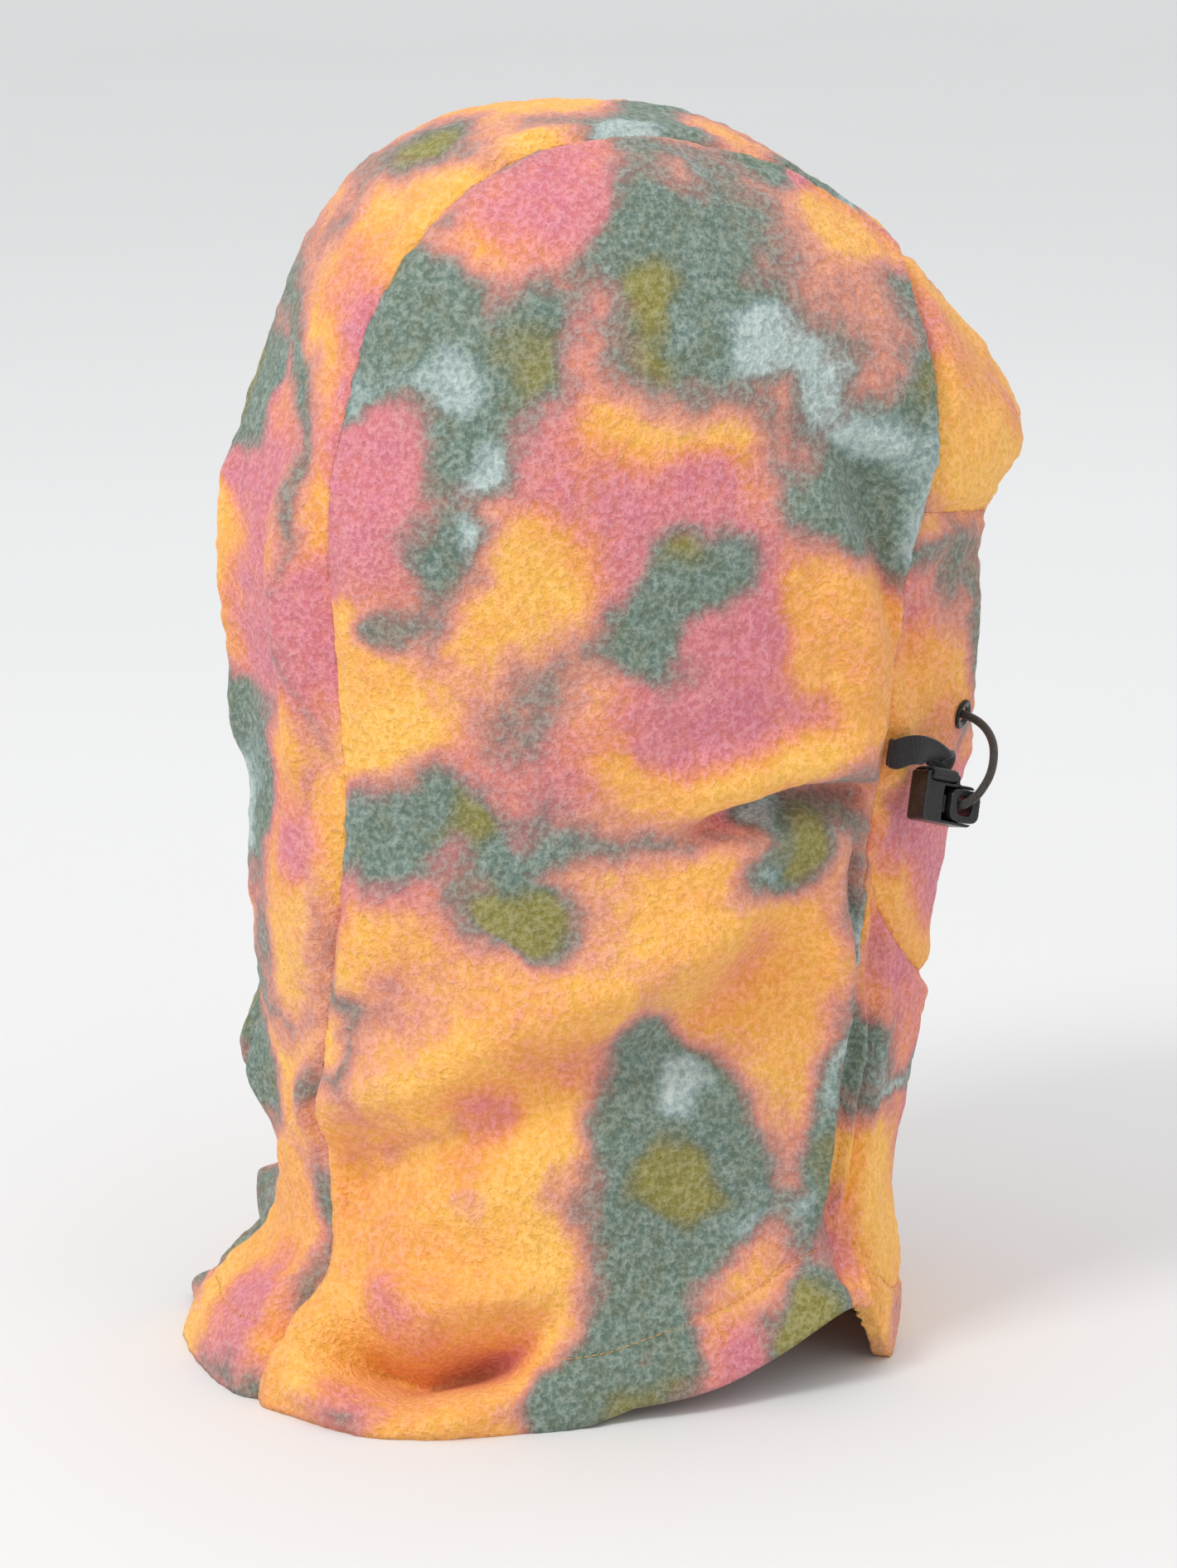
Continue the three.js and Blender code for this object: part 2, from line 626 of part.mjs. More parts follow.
const back = LOCK_DEPTH / 2;
const rear = -LOCK_LENGTH * 0.6;
const nose = rear + LOCK_LENGTH;
const low = -LOCK_HEIGHT / 2;
const high = LOCK_HEIGHT / 2;
const ringNose = nose + RING_REACH;
const ringRear = ringNose - RING_LENGTH;
const recess = ringRear - PLUNGER_TRAVEL - SLIDE_CLEARANCE;
const ringHalf = RING_HEIGHT / 2;
const recessHalf = ringHalf + SLIDE_CLEARANCE;
const stemHalf = STEM_HEIGHT / 2;
const boreHalf = stemHalf + SLIDE_CLEARANCE;
const eyeHalf = EYE_HEIGHT / 2;
const eyeStart = ringRear + RING_BAR;
const eyeEnd = eyeStart + EYE_LENGTH;
const boreEnd = rear + LOCK_WALL;
const barSlot = RIBBON_THICKNESS + 2 * FIT;
const slotStart = rear + LOCK_WALL;
const slotEnd = slotStart + RIBBON_WIDTH + 2 * FIT;
const backPlate = -back + LOCK_WALL;
const housing = cut(
  block([rear, low, -back], [nose, high, back], LOCK_CORNER),
  block([recess, -recessHalf, backPlate], [nose + 1, recessHalf, back + 1]),
  block([boreEnd, -boreHalf, -STEM_DEPTH / 2 - FIT], [recess + 1, boreHalf, STEM_DEPTH / 2 + FIT]),
  block([eyeStart, -eyeHalf, -back - 1], [ringNose - RING_BAR, eyeHalf, back], 1.5),
);
const ear = block([rear, high - 2, -back], [slotEnd + LOCK_WALL, high + barSlot + BAR_HEIGHT, back], 1);
const slot = block([slotStart, high, -back - 1], [slotEnd, high + barSlot, back + 1]);
const ringRoom = block([recess, low, backPlate], [nose + 1, recessHalf, back + 1]);
const lockBody = geometryFrom(solid(housing).add(solid(cut(ear, slot, ringRoom))));
addPair("cord_lock_housing", lockBody.applyMatrix4(lockFrame), ...BLACK_PLASTIC);

const ring = cut(
  block([ringRear, -ringHalf, backPlate + SLIDE_CLEARANCE], [ringNose, ringHalf, back + 0.6], 2.6),
  block([eyeStart, -eyeHalf, -back - 1], [eyeEnd, eyeHalf, back + 1], 1.8),
);
const stemDepth = STEM_DEPTH / 2;
const stem = block([ringRear - STEM_LENGTH, -stemHalf, -stemDepth], [ringRear + 1, stemHalf, stemDepth]);
const plunger = geometryFrom(solid(ring).add(solid(stem)));
addPair("cord_lock_plunger", plunger.applyMatrix4(lockFrame), ...BLACK_PLASTIC);

const springStart = boreEnd + SPRING_WIRE / 2 + FIT;
const springEnd = ringRear - STEM_LENGTH - SPRING_WIRE / 2 - FIT;
const helix = Array.from({ length: SPRING_TURNS * 10 + 1 }, (_, i) => {
  const turn = (i / 10) * 2 * Math.PI;
  const along = springStart + ((springEnd - springStart) * i) / (SPRING_TURNS * 10);
  return onLock(along, SPRING_RADIUS * Math.cos(turn), SPRING_RADIUS * Math.sin(turn));
});
addPair("cord_lock_spring", tube(helix, SPRING_WIRE / 2, 5, SPRING_TURNS * 10), ...STEEL);

// Ribbons: grosgrain tape sewn into the face seam, which turns down and loops round the lock's bar.
function strap(stations) {
  const vertices = [];
  const triangles = [];
  stations.forEach(({ at, across, face, width, thick }, i) => {
    const w = across.clone().setLength(width / 2);
    const t = face.clone().setLength(thick / 2);
    vertices.push(
      at.clone().add(w).add(t),
      at.clone().sub(w).add(t),
      at.clone().sub(w).sub(t),
      at.clone().add(w).sub(t),
    );
    for (let s = 0; i && s < 4; s++) {
      const a = (i - 1) * 4 + s;
      const b = (i - 1) * 4 + ((s + 1) % 4);
      triangles.push(a, b, b + 4, a, b + 4, a + 4);
    }
  });
  const last = (stations.length - 1) * 4;
  triangles.push(0, 2, 1, 0, 3, 2, last, last + 1, last + 2, last, last + 2, last + 3);
  const geometry = geometryOf(vertices, triangles);
  return signedVolume(geometry) < 0 ? turned(geometry) : geometry;
}

const barTop = high + barSlot + BAR_HEIGHT;
const tapeMiddle = slotStart + FIT + RIBBON_WIDTH / 2;
const ribbonTop = onLock(tapeMiddle, barTop + RIBBON_THICKNESS, 0);
const ribbonPoints = new THREE.CatmullRomCurve3([
  root.clone().addScaledVector(rootNormal, 2 * FIT),
  root.clone().addScaledVector(rootNormal, 3),
  fromRoot(-5.2, -4, 1),
  fromRoot(-6.4, -8.2, 1),
  onLock(tapeMiddle, barTop + RIBBON_THICKNESS + 3.4, 1.2),
  ribbonTop,
]);
const RIBBON_STEPS = 9;
const ribbonStrap = strap(
  Array.from({ length: RIBBON_STEPS }, (_, i) => {
    const t = i / (RIBBON_STEPS - 1);
    const run = ribbonPoints.getTangent(t);
    const wanted = new THREE.Vector3(0, 0, 1).lerp(lockX, THREE.MathUtils.smoothstep(t, 0.1, 0.9));
    const across = wanted.projectOnPlane(run).normalize();
    return {
      at: ribbonPoints.getPoint(t),
      across,
      face: across.clone().cross(run),
      width: RIBBON_WIDTH,
      thick: 2 * RIBBON_THICKNESS,
    };
  }),
);
const loopOut = LOCK_DEPTH / 2 + FIT + RIBBON_THICKNESS;
const loopIn = LOCK_DEPTH / 2 + FIT;
const tapeLoop = cut(
  block(
    [slotStart + FIT, high + FIT, -loopOut],
    [slotEnd - FIT, barTop + FIT + RIBBON_THICKNESS, loopOut],
  ),
  block([slotStart - 1, high + FIT + RIBBON_THICKNESS, -loopIn], [slotEnd + 1, barTop + FIT, loopIn]),
).applyMatrix4(lockFrame);
addPair("ribbon", geometryFrom(solid(ribbonStrap).add(solid(tapeLoop))), ...BLACK_TAPE);

// Cord loops: the drawcord's free stretch, out of the eyelet, down and into the plunger's eye.
const CORD_LOOP = [
  [-69.8, -96.7, 203.8],
  [-72.6, -97.8, 202.6],
  [-75.5, -98.2, 201.2],
  [-78.3, -98.1, 199.6],
  [-80.9, -97.6, 197.8],
  [-83.4, -96.6, 195.9],
  [-85.7, -95.3, 193.9],
  [-87.7, -93.8, 191.9],
  [-89.3, -92, 189.7],
  [-90.4, -89.9, 187.5],
  [-90.8, -87.7, 185.2],
  [-89.9, -85.5, 183.1],
  [-87.7, -83.9, 181.5],
  [-84.8, -83, 180.6],
];
const loopPoints = [eyeletOut(EYELET_CROWN + FIT), ...CORD_LOOP.map((p) => new THREE.Vector3(...p))];
addPair("cord_loop", tube(loopPoints, CORD_DIAMETER / 2, 8, 20), ...BLACK_CORD);

export default hood;
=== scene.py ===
import math

import bpy
import numpy as np
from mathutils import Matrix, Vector


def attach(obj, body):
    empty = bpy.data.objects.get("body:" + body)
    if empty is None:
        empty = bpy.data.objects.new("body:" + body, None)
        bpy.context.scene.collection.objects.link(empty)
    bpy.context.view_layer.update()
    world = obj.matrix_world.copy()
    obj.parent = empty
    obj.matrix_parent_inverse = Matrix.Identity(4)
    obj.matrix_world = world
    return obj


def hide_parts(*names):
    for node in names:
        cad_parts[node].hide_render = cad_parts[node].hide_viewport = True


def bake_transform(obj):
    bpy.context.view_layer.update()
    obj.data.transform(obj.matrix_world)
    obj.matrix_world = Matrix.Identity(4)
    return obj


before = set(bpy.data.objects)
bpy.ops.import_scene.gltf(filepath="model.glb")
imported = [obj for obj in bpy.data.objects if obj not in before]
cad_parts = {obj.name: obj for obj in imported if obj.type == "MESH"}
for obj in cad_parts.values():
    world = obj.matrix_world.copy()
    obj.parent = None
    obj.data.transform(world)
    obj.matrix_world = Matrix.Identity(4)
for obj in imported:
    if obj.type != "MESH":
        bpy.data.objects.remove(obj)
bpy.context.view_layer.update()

MM = 0.001

# ---- Camera --------------------------------------------------------------------------------------
# It stands at the wearer's right and a little behind, looking slightly down at the hood's middle.
CAMERA_AZIMUTH = math.radians(-112)
CAMERA_ELEVATION = math.radians(13)
CAMERA_DISTANCE = 1.5
CAMERA_TARGET = Vector((0, 0.0045, 0.177))

away = Vector((
    math.sin(CAMERA_AZIMUTH) * math.cos(CAMERA_ELEVATION),
    -math.cos(CAMERA_AZIMUTH) * math.cos(CAMERA_ELEVATION),
    math.sin(CAMERA_ELEVATION),
))
camera = bpy.data.objects.new("camera", bpy.data.cameras.new("camera"))
camera.data.sensor_fit = "VERTICAL"
camera.data.sensor_height = 36
camera.data.lens = 108.5
camera.location = CAMERA_TARGET + away * CAMERA_DISTANCE
camera.rotation_euler = away.to_track_quat("Z", "Y").to_euler()
bpy.context.scene.collection.objects.link(camera)
bpy.context.scene.camera = camera

# ---- Cord loops ----------------------------------------------------------------------------------
# The free stretch of the drawcord on each side: braided elastic cord, 2.7 mm thick, which leaves the
# eyelet, hangs in a short bow and enters the eye of the cord lock's plunger. Points in millimetres.
CORD_DIAMETER = 2.7
CORD_ROUTE = [
    (-65.9, -94.1, 205), (-67.3, -95.2, 204.6), (-69.8, -96.7, 203.8), (-72.6, -97.8, 202.6),
    (-75.5, -98.2, 201.2), (-78.3, -98.1, 199.6), (-80.9, -97.6, 197.8), (-83.4, -96.6, 195.9),
    (-85.7, -95.3, 193.9), (-87.7, -93.8, 191.9), (-89.3, -92, 189.7), (-90.4, -89.9, 187.5),
    (-90.8, -87.7, 185.2), (-89.9, -85.5, 183.1), (-87.7, -83.9, 181.5), (-84.8, -83, 180.6),
]
CORD_SIDES = 32
STRANDS = 8
BRAID_PITCH = 5.5  # length of one full turn of a strand
BRAID_RELIEF = 0.06  # share of the cord's radius


class Wire:
    """One output of a material's nodes, which can be used in sums."""

    def __init__(self, tree, socket):
        self.tree = tree
        self.socket = socket

    def math(self, operation, *values):
        node = self.tree.nodes.new("ShaderNodeMath")
        node.operation = operation
        for slot, value in zip(node.inputs, values):
            if isinstance(value, Wire):
                self.tree.links.new(value.socket, slot)
            else:
                slot.default_value = value
        return Wire(self.tree, node.outputs[0])

    def __add__(self, other):
        return self.math("ADD", self, other)

    __radd__ = __add__

    def __sub__(self, other):
        return self.math("SUBTRACT", self, other)

    def __mul__(self, other):
        return self.math("MULTIPLY", self, other)

    __rmul__ = __mul__


def dye(code):
    """A colour written as on a shade card, as the shader's own light values."""
    parts = [int(code[i : i + 2], 16) / 255 for i in (1, 3, 5)]
    return (*[v / 12.92 if v <= 0.04045 else ((v + 0.055) / 1.055) ** 2.4 for v in parts], 1.0)


class Finish:
    """A material with one Principled shader, whose plain settings are given by name."""

    def __init__(self, name, settings):
        self.material = bpy.data.materials.new(name)
        self.material.use_nodes = True
        self.tree = self.material.node_tree
        self.shader = self.tree.nodes["Principled BSDF"]
        for socket, value in settings.items():
            self.shader.inputs[socket].default_value = value

    def node(self, kind, settings=None, sockets=None, output=0):
        node = self.tree.nodes.new(kind)
        for key, value in (settings or {}).items():
            if key == "stops":
                ramp = node.color_ramp
                while len(ramp.elements) < len(value):
                    ramp.elements.new(1.0)
                for element, (place, colour) in zip(ramp.elements, value):
                    element.position = place
                    element.color = colour
            else:
                setattr(node, key, value)
        for key, value in (sockets or {}).items():
            if isinstance(value, Wire):
                self.tree.links.new(value.socket, node.inputs[key])
            else:
                node.inputs[key].default_value = value
        return Wire(self.tree, node.outputs[output])

    def place(self):
        return self.node("ShaderNodeTexCoord", output="Object")

    def noise(self, size, detail=2.0, roughness=0.5):
        """Cloudy noise from 0 to 1 whose clouds are about size metres across."""
        sockets = {"Vector": self.place(), "Scale": 1 / size, "Detail": detail, "Roughness": roughness}
        return self.node("ShaderNodeTexNoise", sockets=sockets)

    def ramp(self, value, *stops):
        return self.node("ShaderNodeValToRGB", {"stops": list(stops)}, {"Fac": value})

    def mixed(self, first, second, share, how="MIX"):
        sockets = {0: share, 6: first, 7: second}
        return self.node("ShaderNodeMix", {"data_type": "RGBA", "blend_type": how}, sockets, 2)

    def shaded(self, colour, tone):
        return self.node("ShaderNodeVectorMath", {"operation": "SCALE"}, {0: colour, "Scale": tone})

    def feed(self, socket, wire):
        self.tree.links.new(wire.socket, self.shader.inputs[socket])

    def bump(self, height, depth, strength=1.0):
        sockets = {"Height": height, "Distance": depth, "Strength": strength}
        self.feed("Normal", self.node("ShaderNodeBump", sockets=sockets))

    def on(self, *objects):
        for thing in objects:
            thing.data.materials.clear()
            thing.data.materials.append(self.material)


def piece(name, points, faces, smooth=True):
    """A new object from points in millimetres."""
    mesh = bpy.data.meshes.new(name)
    mesh.from_pydata((np.asarray(points) * MM).tolist(), [], [list(map(int, f)) for f in faces])
    mesh.update()
    if smooth:
        mesh.shade_smooth()
    thing = bpy.data.objects.new(name, mesh)
    bpy.context.scene.collection.objects.link(thing)
    return thing


def spline(points, step):
    """A smooth line through points, as many short equal steps of about the given length."""
    p = np.asarray(points, float)
    p = np.vstack([2 * p[0] - p[1], p, 2 * p[-1] - p[-2]])
    t = np.linspace(0, 1, 24, endpoint=False)[:, None]
    runs = [
        0.5 * (2 * b + (c - a) * t + (2 * a - 5 * b + 4 * c - d) * t**2 + (3 * b - a - 3 * c + d) * t**3)
        for a, b, c, d in zip(p, p[1:], p[2:], p[3:])
    ]
    fine = np.vstack([*runs, p[-2]])
    along = np.r_[0, np.cumsum(np.linalg.norm(np.diff(fine, axis=0), axis=1))]
    places = np.linspace(0, along[-1], max(int(along[-1] / step), 2) + 1)
    return np.stack([np.interp(places, along, fine[:, i]) for i in range(3)], 1)


def unit(v):
    return v / np.maximum(np.linalg.norm(v, axis=-1, keepdims=True), 1e-12)


def carried(line, first):
    """The direction first carried along a line without twist, with the line's own direction."""
    run = unit(np.gradient(line, axis=0))
    side = np.zeros_like(run)
    side[0] = unit(np.asarray(first, float) - run[0] * np.dot(first, run[0]))
    for i in range(1, len(run)):
        side[i] = unit(side[i - 1] - run[i] * np.dot(side[i - 1], run[i]))
    return run, side


def tube(name, line, radius, first=(0, 0, 1), sides=CORD_SIDES):
    """A closed tube along a line. radius takes turn and length and gives the radius there."""
    run, side = carried(line, first)
    other = np.cross(run, side)
    turn = np.linspace(0, 2 * np.pi, sides, endpoint=False)
    length = np.r_[0, np.cumsum(np.linalg.norm(np.diff(line, axis=0), axis=1))]
    r = radius(turn[None, :], length[:, None])[..., None]
    ring = np.cos(turn)[None, :, None] * side[:, None] + np.sin(turn)[None, :, None] * other[:, None]
    points = (line[:, None] + r * ring).reshape(-1, 3)
    n = len(line)
    faces = [
        (i * sides + j, i * sides + (j + 1) % sides, (i + 1) * sides + (j + 1) % sides, (i + 1) * sides + j)
        for i in range(n - 1)
        for j in range(sides)
    ]
    faces.append(range(sides - 1, -1, -1))
    faces.append(range((n - 1) * sides, n * sides))
    return piece(name, points, faces)


def braided(turn, length):
    weave = STRANDS / 2 * turn
    lay = 2 * np.pi * length / BRAID_PITCH * STRANDS / 2
    relief = np.abs(np.sin(weave + lay)) * np.abs(np.sin(weave - lay))
    return CORD_DIAMETER / 2 * (1 - BRAID_RELIEF + BRAID_RELIEF * relief)


cord_finish = Finish("braided_cord", {"Roughness": 0.72, "Specular IOR Level": 0.35, "Sheen Weight": 0.25})
weave = cord_finish.noise(0.0006, 3)
cord_finish.feed("Base Color", cord_finish.ramp(weave, (0.3, dye("#201E1C")), (0.7, dye("#4A443F"))))
cord_finish.bump(weave, 0.0002, 0.6)

SIDES = (("right", 1), ("left", -1))
MIRROR = np.array([-1, 1, 1])
for side, sign in SIDES:
    route = np.asarray(CORD_ROUTE) * (1 if sign > 0 else MIRROR)
    line = spline(route, 0.25)
    cord = tube(f"cord_loop_{side}_braid", line, braided)
    cord_finish.on(cord)
    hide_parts(f"cord_loop_{side}")
    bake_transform(cord)
    (line * MM).tolist()
cord_finish.on(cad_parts["drawcord"])

# ---- The hood's shape ----------------------------------------------------------------------------
# Brushed fleece, 2.8 mm thick, which stands by itself on its hem. Level sections from the hem to the
# top of the head give the shape it takes: height of the section's front and back, reach of its front
# and back from the origin, half width, and how square its front and back halves are. Millimetres.
SECTIONS = np.array([
    (0, 0, -80, 136, 98, 4.0, 2.2), (12, 12, -84, 132, 96, 3.6, 2.2), (24, 24, -88, 124, 92, 3.0, 2.2),
    (36, 36, -91, 111, 88, 2.6, 2.2), (50, 50, -93, 107, 85, 2.4, 2.2), (70, 70, -98, 108, 83, 2.3, 2.2),
    (95, 95, -102, 110, 83, 2.3, 2.2), (120, 120, -106, 111, 83, 2.3, 2.2),
    (145, 145, -110, 112, 84, 2.3, 2.2), (170, 170, -115, 112, 86, 2.3, 2.2),
    (195, 195, -121, 112, 89, 2.3, 2.2), (218, 218, -126, 113, 92, 2.3, 2.2),
    (240, 240, -128, 114, 94, 2.3, 2.2), (258, 258, -126, 115, 95, 2.3, 2.2),
    (275, 275, -130, 115, 96, 2.2, 2.2), (288, 288, -136, 114, 96, 2.2, 2.2),
    (300, 300, -133, 111, 95, 2.2, 2.2), (313, 313, -123, 106, 94, 2.2, 2.2),
    (327, 327, -109, 101, 91, 2.2, 2.2), (340, 341, -96, 95, 86, 2.2, 2.2),
    (352, 354, -85, 87, 79, 2.2, 2.2), (364, 367, -71, 76, 69, 2.2, 2.2),
    (375, 377, -54, 64, 57, 2.2, 2.2), (383.5, 385, -37, 51, 43, 2.2, 2.2),
    (389, 390, -20, 38, 28, 2.2, 2.2), (391.5, 392, -3, 25, 14, 2.2, 2.2),
    (392, 392, 12, 12, 0, 2.2, 2.2),
], float)
TOP = len(SECTIONS) - 1
FABRIC = 2.8
HEM_ARCH = 25  # how far the hem lifts beside the throat
HEM_ARCH_ANGLE = math.radians(60)
HEM_TURN = 22  # width of the turned hem


def section(level):
    at = np.clip(level, 0, TOP)
    low = np.minimum(np.floor(at).astype(int), TOP - 1)
    t = (at - low)[..., None]
    rows = np.vstack([2 * SECTIONS[0] - SECTIONS[1], SECTIONS, 2 * SECTIONS[-1] - SECTIONS[-2]])
    a, b, c, d = (rows[low + i] for i in range(4))
    return b + 0.5 * t * (c - a + t * (2 * a - 5 * b + 4 * c - d + t * (3 * (b - c) + d - a)))


def hem_lift(angle):
    off = np.abs(angle) - HEM_ARCH_ANGLE
    reach = np.where(off < 0, math.radians(26), math.radians(42))
    return np.where(np.abs(off) < reach, HEM_ARCH * np.cos(off / reach * np.pi / 2) ** 2, 0)


def skin(angle, level):
    """Points of the outside, by angle round from the front, positive to the wearer's right."""
    angle, level = np.broadcast_arrays(np.asarray(angle, float), np.asarray(level, float))
    z_front, z_back, front, back, half, square_front, square_back = np.moveaxis(section(level), -1, 0)
    power = 2 / np.where(np.cos(angle) > 0, square_front, square_back)
    forward = np.sign(np.cos(angle)) * np.abs(np.cos(angle)) ** power
    across = np.sign(np.sin(angle)) * np.abs(np.sin(angle)) ** power
    z = (z_front + z_back) / 2 - (z_back - z_front) / 2 * forward
    lift = hem_lift(angle) * np.maximum(1 - z / 65, 0) ** 2
    x = -np.maximum(half, 0) * across
    y = (front + back) / 2 - (back - front) / 2 * forward
    return np.stack([x, y, z + lift], -1)


def at_height(degrees, z):
    """Places, as pairs of angle and level, at angles in degrees and heights in millimetres."""
    angle = np.radians(np.asarray(degrees, float))
    z = np.asarray(z, float)
    low = np.zeros(np.broadcast(angle, z).shape)
    high = low + TOP
    for _ in range(32):
        middle = (low + high) / 2
        under = skin(angle, middle)[..., 2] < z
        low = np.where(under, middle, low)
        high = np.where(under, high, middle)
    return np.stack([np.broadcast_to(angle, low.shape), (low + high) / 2], -1)


def places_on(points):
    return at_height(*np.array(points, float).T)


def on_skin(places):
    return skin(places[..., 0], places[..., 1])


def evenly(places, count):
    """A smooth line through places, as count places at equal lengths along the skin."""
    p = np.asarray(places, float) * (20, 1)
    p = np.vstack([2 * p[0] - p[1], p, 2 * p[-1] - p[-2]])
    t = np.linspace(0, 1, 60, endpoint=False)[:, None]
    fine = np.vstack([
        0.5 * (2 * b + (c - a) * t + (2 * a - 5 * b + 4 * c - d) * t**2 + (3 * b - a - 3 * c + d) * t**3)
        for a, b, c, d in zip(p, p[1:], p[2:], p[3:])
    ] + [p[-2]])
    return spaced(fine / (20, 1), count)


def spaced(fine, count):
    steps = np.linalg.norm(np.diff(on_skin(fine), axis=0), axis=1)
    along = np.r_[0, np.cumsum(steps)]
    wanted = np.linspace(0, along[-1], count)
    return np.stack([np.interp(wanted, along, fine[:, i]) for i in range(2)], 1)


# Seams: a line from over the brow down the temple and cheek to the throat and the hem, which ends
# the side panels, and a curved seam under the chin. Degrees and millimetres, on the wearer's right.
BROW_TOP = 349
CHIN_BOTTOM = 110
CROWN_HALF_WIDTH = 38
NAPE_HALF_WIDTH = 26
CHEEK_JOIN = (59.5, 272)
CHIN_JOIN = (62.5, 165)
FACE_SEAM = [
    (0, BROW_TOP), (26, 345), (45, 330), (58, 303), (60, 286), CHEEK_JOIN, (63, 252), (65, 230),
    (64.5, 206), CHIN_JOIN, (60.5, 148), (60, 121), (61.5, 93), (63, 64), (62, 40), (60, 0),
]
CHIN_SEAM = [(0, CHIN_BOTTOM), (15, 111.5), (32, 118), (46, 130), (56, 145), CHIN_JOIN]
FINE = 2000

front_line = evenly(places_on([(-26, 345), *FACE_SEAM]), FINE)
front_points = on_skin(front_line)


def nearest(degrees, z):
    wanted = on_skin(at_height(degrees, z))
    return int(np.argmin(np.linalg.norm(front_points - wanted, axis=1)))


def besides(share):
    forward = front_line[:, 0] >= 0
    return int(np.argmax(forward & (-front_points[:, 0] >= share * CROWN_HALF_WIDTH)))


def stretch(first, last, count):
    return spaced(front_line[first : last + 1], count)


brow_corner = besides(1)
cheek_corner = nearest(*CHEEK_JOIN)
chin_corner = nearest(*CHIN_JOIN)


def mirrored(places):
    return places * (-1, 1)


def both_sides(half):
    """A line from the middle of the face to the wearer's right, continued to the left."""
    return np.vstack([mirrored(half[1:])[::-1], half])


# ---- Folds ---------------------------------------------------------------------------------------
# Where the fleece creases and rolls as it stands: along the temple, under the jaw, in the pleats
# beside the throat, across the neck and in the pocket where the hem flares out at the back.
# Each fold: its line in degrees and millimetres, then push outwards, width and shift to the line's
# left hand, in millimetres.
TEMPLE = [(85, 300), (75, 270), (65, 205)]
JAW = [(55, 185), (80, 190), (100, 180)]
PLEAT = [(68, 185), (60, 120), (65, 35)]
STRIP = [(62, 180), (54, 100), (60, 35)]
NECK = [(75, 160), (100, 130), (175, 75)]
NAPE = [(167, 300), (167, 180)]
POCKET = [(155, 25), (130, 15), (105, 25)]
FOLDS = [
    (TEMPLE, 8.0, 9, 5), (TEMPLE, -8.0, 7, -9), (TEMPLE, 2.0, 12, 24),
    (JAW, 8.5, 10, 10), (JAW, -12.0, 4.5, -3), (JAW, 4.5, 8, -15),
    (PLEAT, 6.0, 6, 9), (PLEAT, -7.0, 3.2, 0), (PLEAT, 3.0, 3.5, -7),
    (STRIP, -5.0, 3.0, 0), (STRIP, 3.0, 3.5, -7),
    (NECK, 8.0, 12, 4), (NECK, -8.5, 12, -20),
    (NAPE, 6.0, 8, 0), (NAPE, -3.0, 8, -18),
    (POCKET, -30.0, 7, 0), (POCKET, 10.0, 8, -16), (POCKET, 6.0, 6, 14),
]
RUMPLES = ((2.6, 46, 1), (1.4, 22, 4), (0.55, 13, 2), (0.22, 5, 3))  # height, size and seed of each
FOLD_END = 24
FOLD_WANDER = 1.5
GATHER_DEPTH = 1.0
GATHER_PITCH = 5.2
DEGREE_LENGTH = 1.65  # millimetres of skin to a degree round the head


def smooth(v, low, high):
    t = np.clip((v - low) / (high - low), 0, 1)
    return t * t * (3 - 2 * t)


def off_line(u, v, line):
    """Signed distance to a line, positive to its left, and the length along it from its start."""
    best = np.full(u.shape, 1e9)
    signed = np.zeros(u.shape)
    along = np.zeros(u.shape)
    start = 0.0
    for (ax, ay), (bx, by) in zip(line, line[1:]):
        dx, dy = bx - ax, by - ay
        run = math.hypot(dx, dy)
        t = np.clip(((u - ax) * dx + (v - ay) * dy) / run**2, 0, 1)
        gap = np.hypot(u - ax - dx * t, v - ay - dy * t)
        nearer = gap < best
        best = np.where(nearer, gap, best)
        signed = np.where(nearer, np.sign(dx * (v - ay) - dy * (u - ax)) * gap, signed)
        along = np.where(nearer, start + t * run, along)
        start += run
    return signed, along, start


def noise(points, size, seed):
    """Smooth noise from -1 to 1 whose lumps are about size millimetres across."""
    q = points / size + 13.7 * seed
    cell = np.floor(q).astype(np.int64)
    f = q - cell
    f = f * f * f * (f * (6 * f - 15) + 10)
    total = np.zeros(points.shape[:-1])
    for corner in range(8):
        step = np.array([corner & 1, corner >> 1 & 1, corner >> 2 & 1])
        x, y, z = np.moveaxis(cell + step, -1, 0)
        mixed = (x * 374761393 + y * 668265263 + z * 1440662683 + seed * 974711) & 0xFFFFFFFF
        mixed = ((mixed ^ (mixed >> 13)) * 1274126177) & 0xFFFFFFFF
        value = ((mixed ^ (mixed >> 16)) & 0xFFFF) / 32767.5 - 1
        total += value * np.prod(np.where(step, f, 1 - f), axis=-1)
    return total


EYELET_PLACE = at_height(44, 205)
RIBBON_PLACE = at_height(64.3, 199)
SEATS = [(on_skin(EYELET_PLACE), 6, 16), (on_skin(RIBBON_PLACE), 4, 12)]


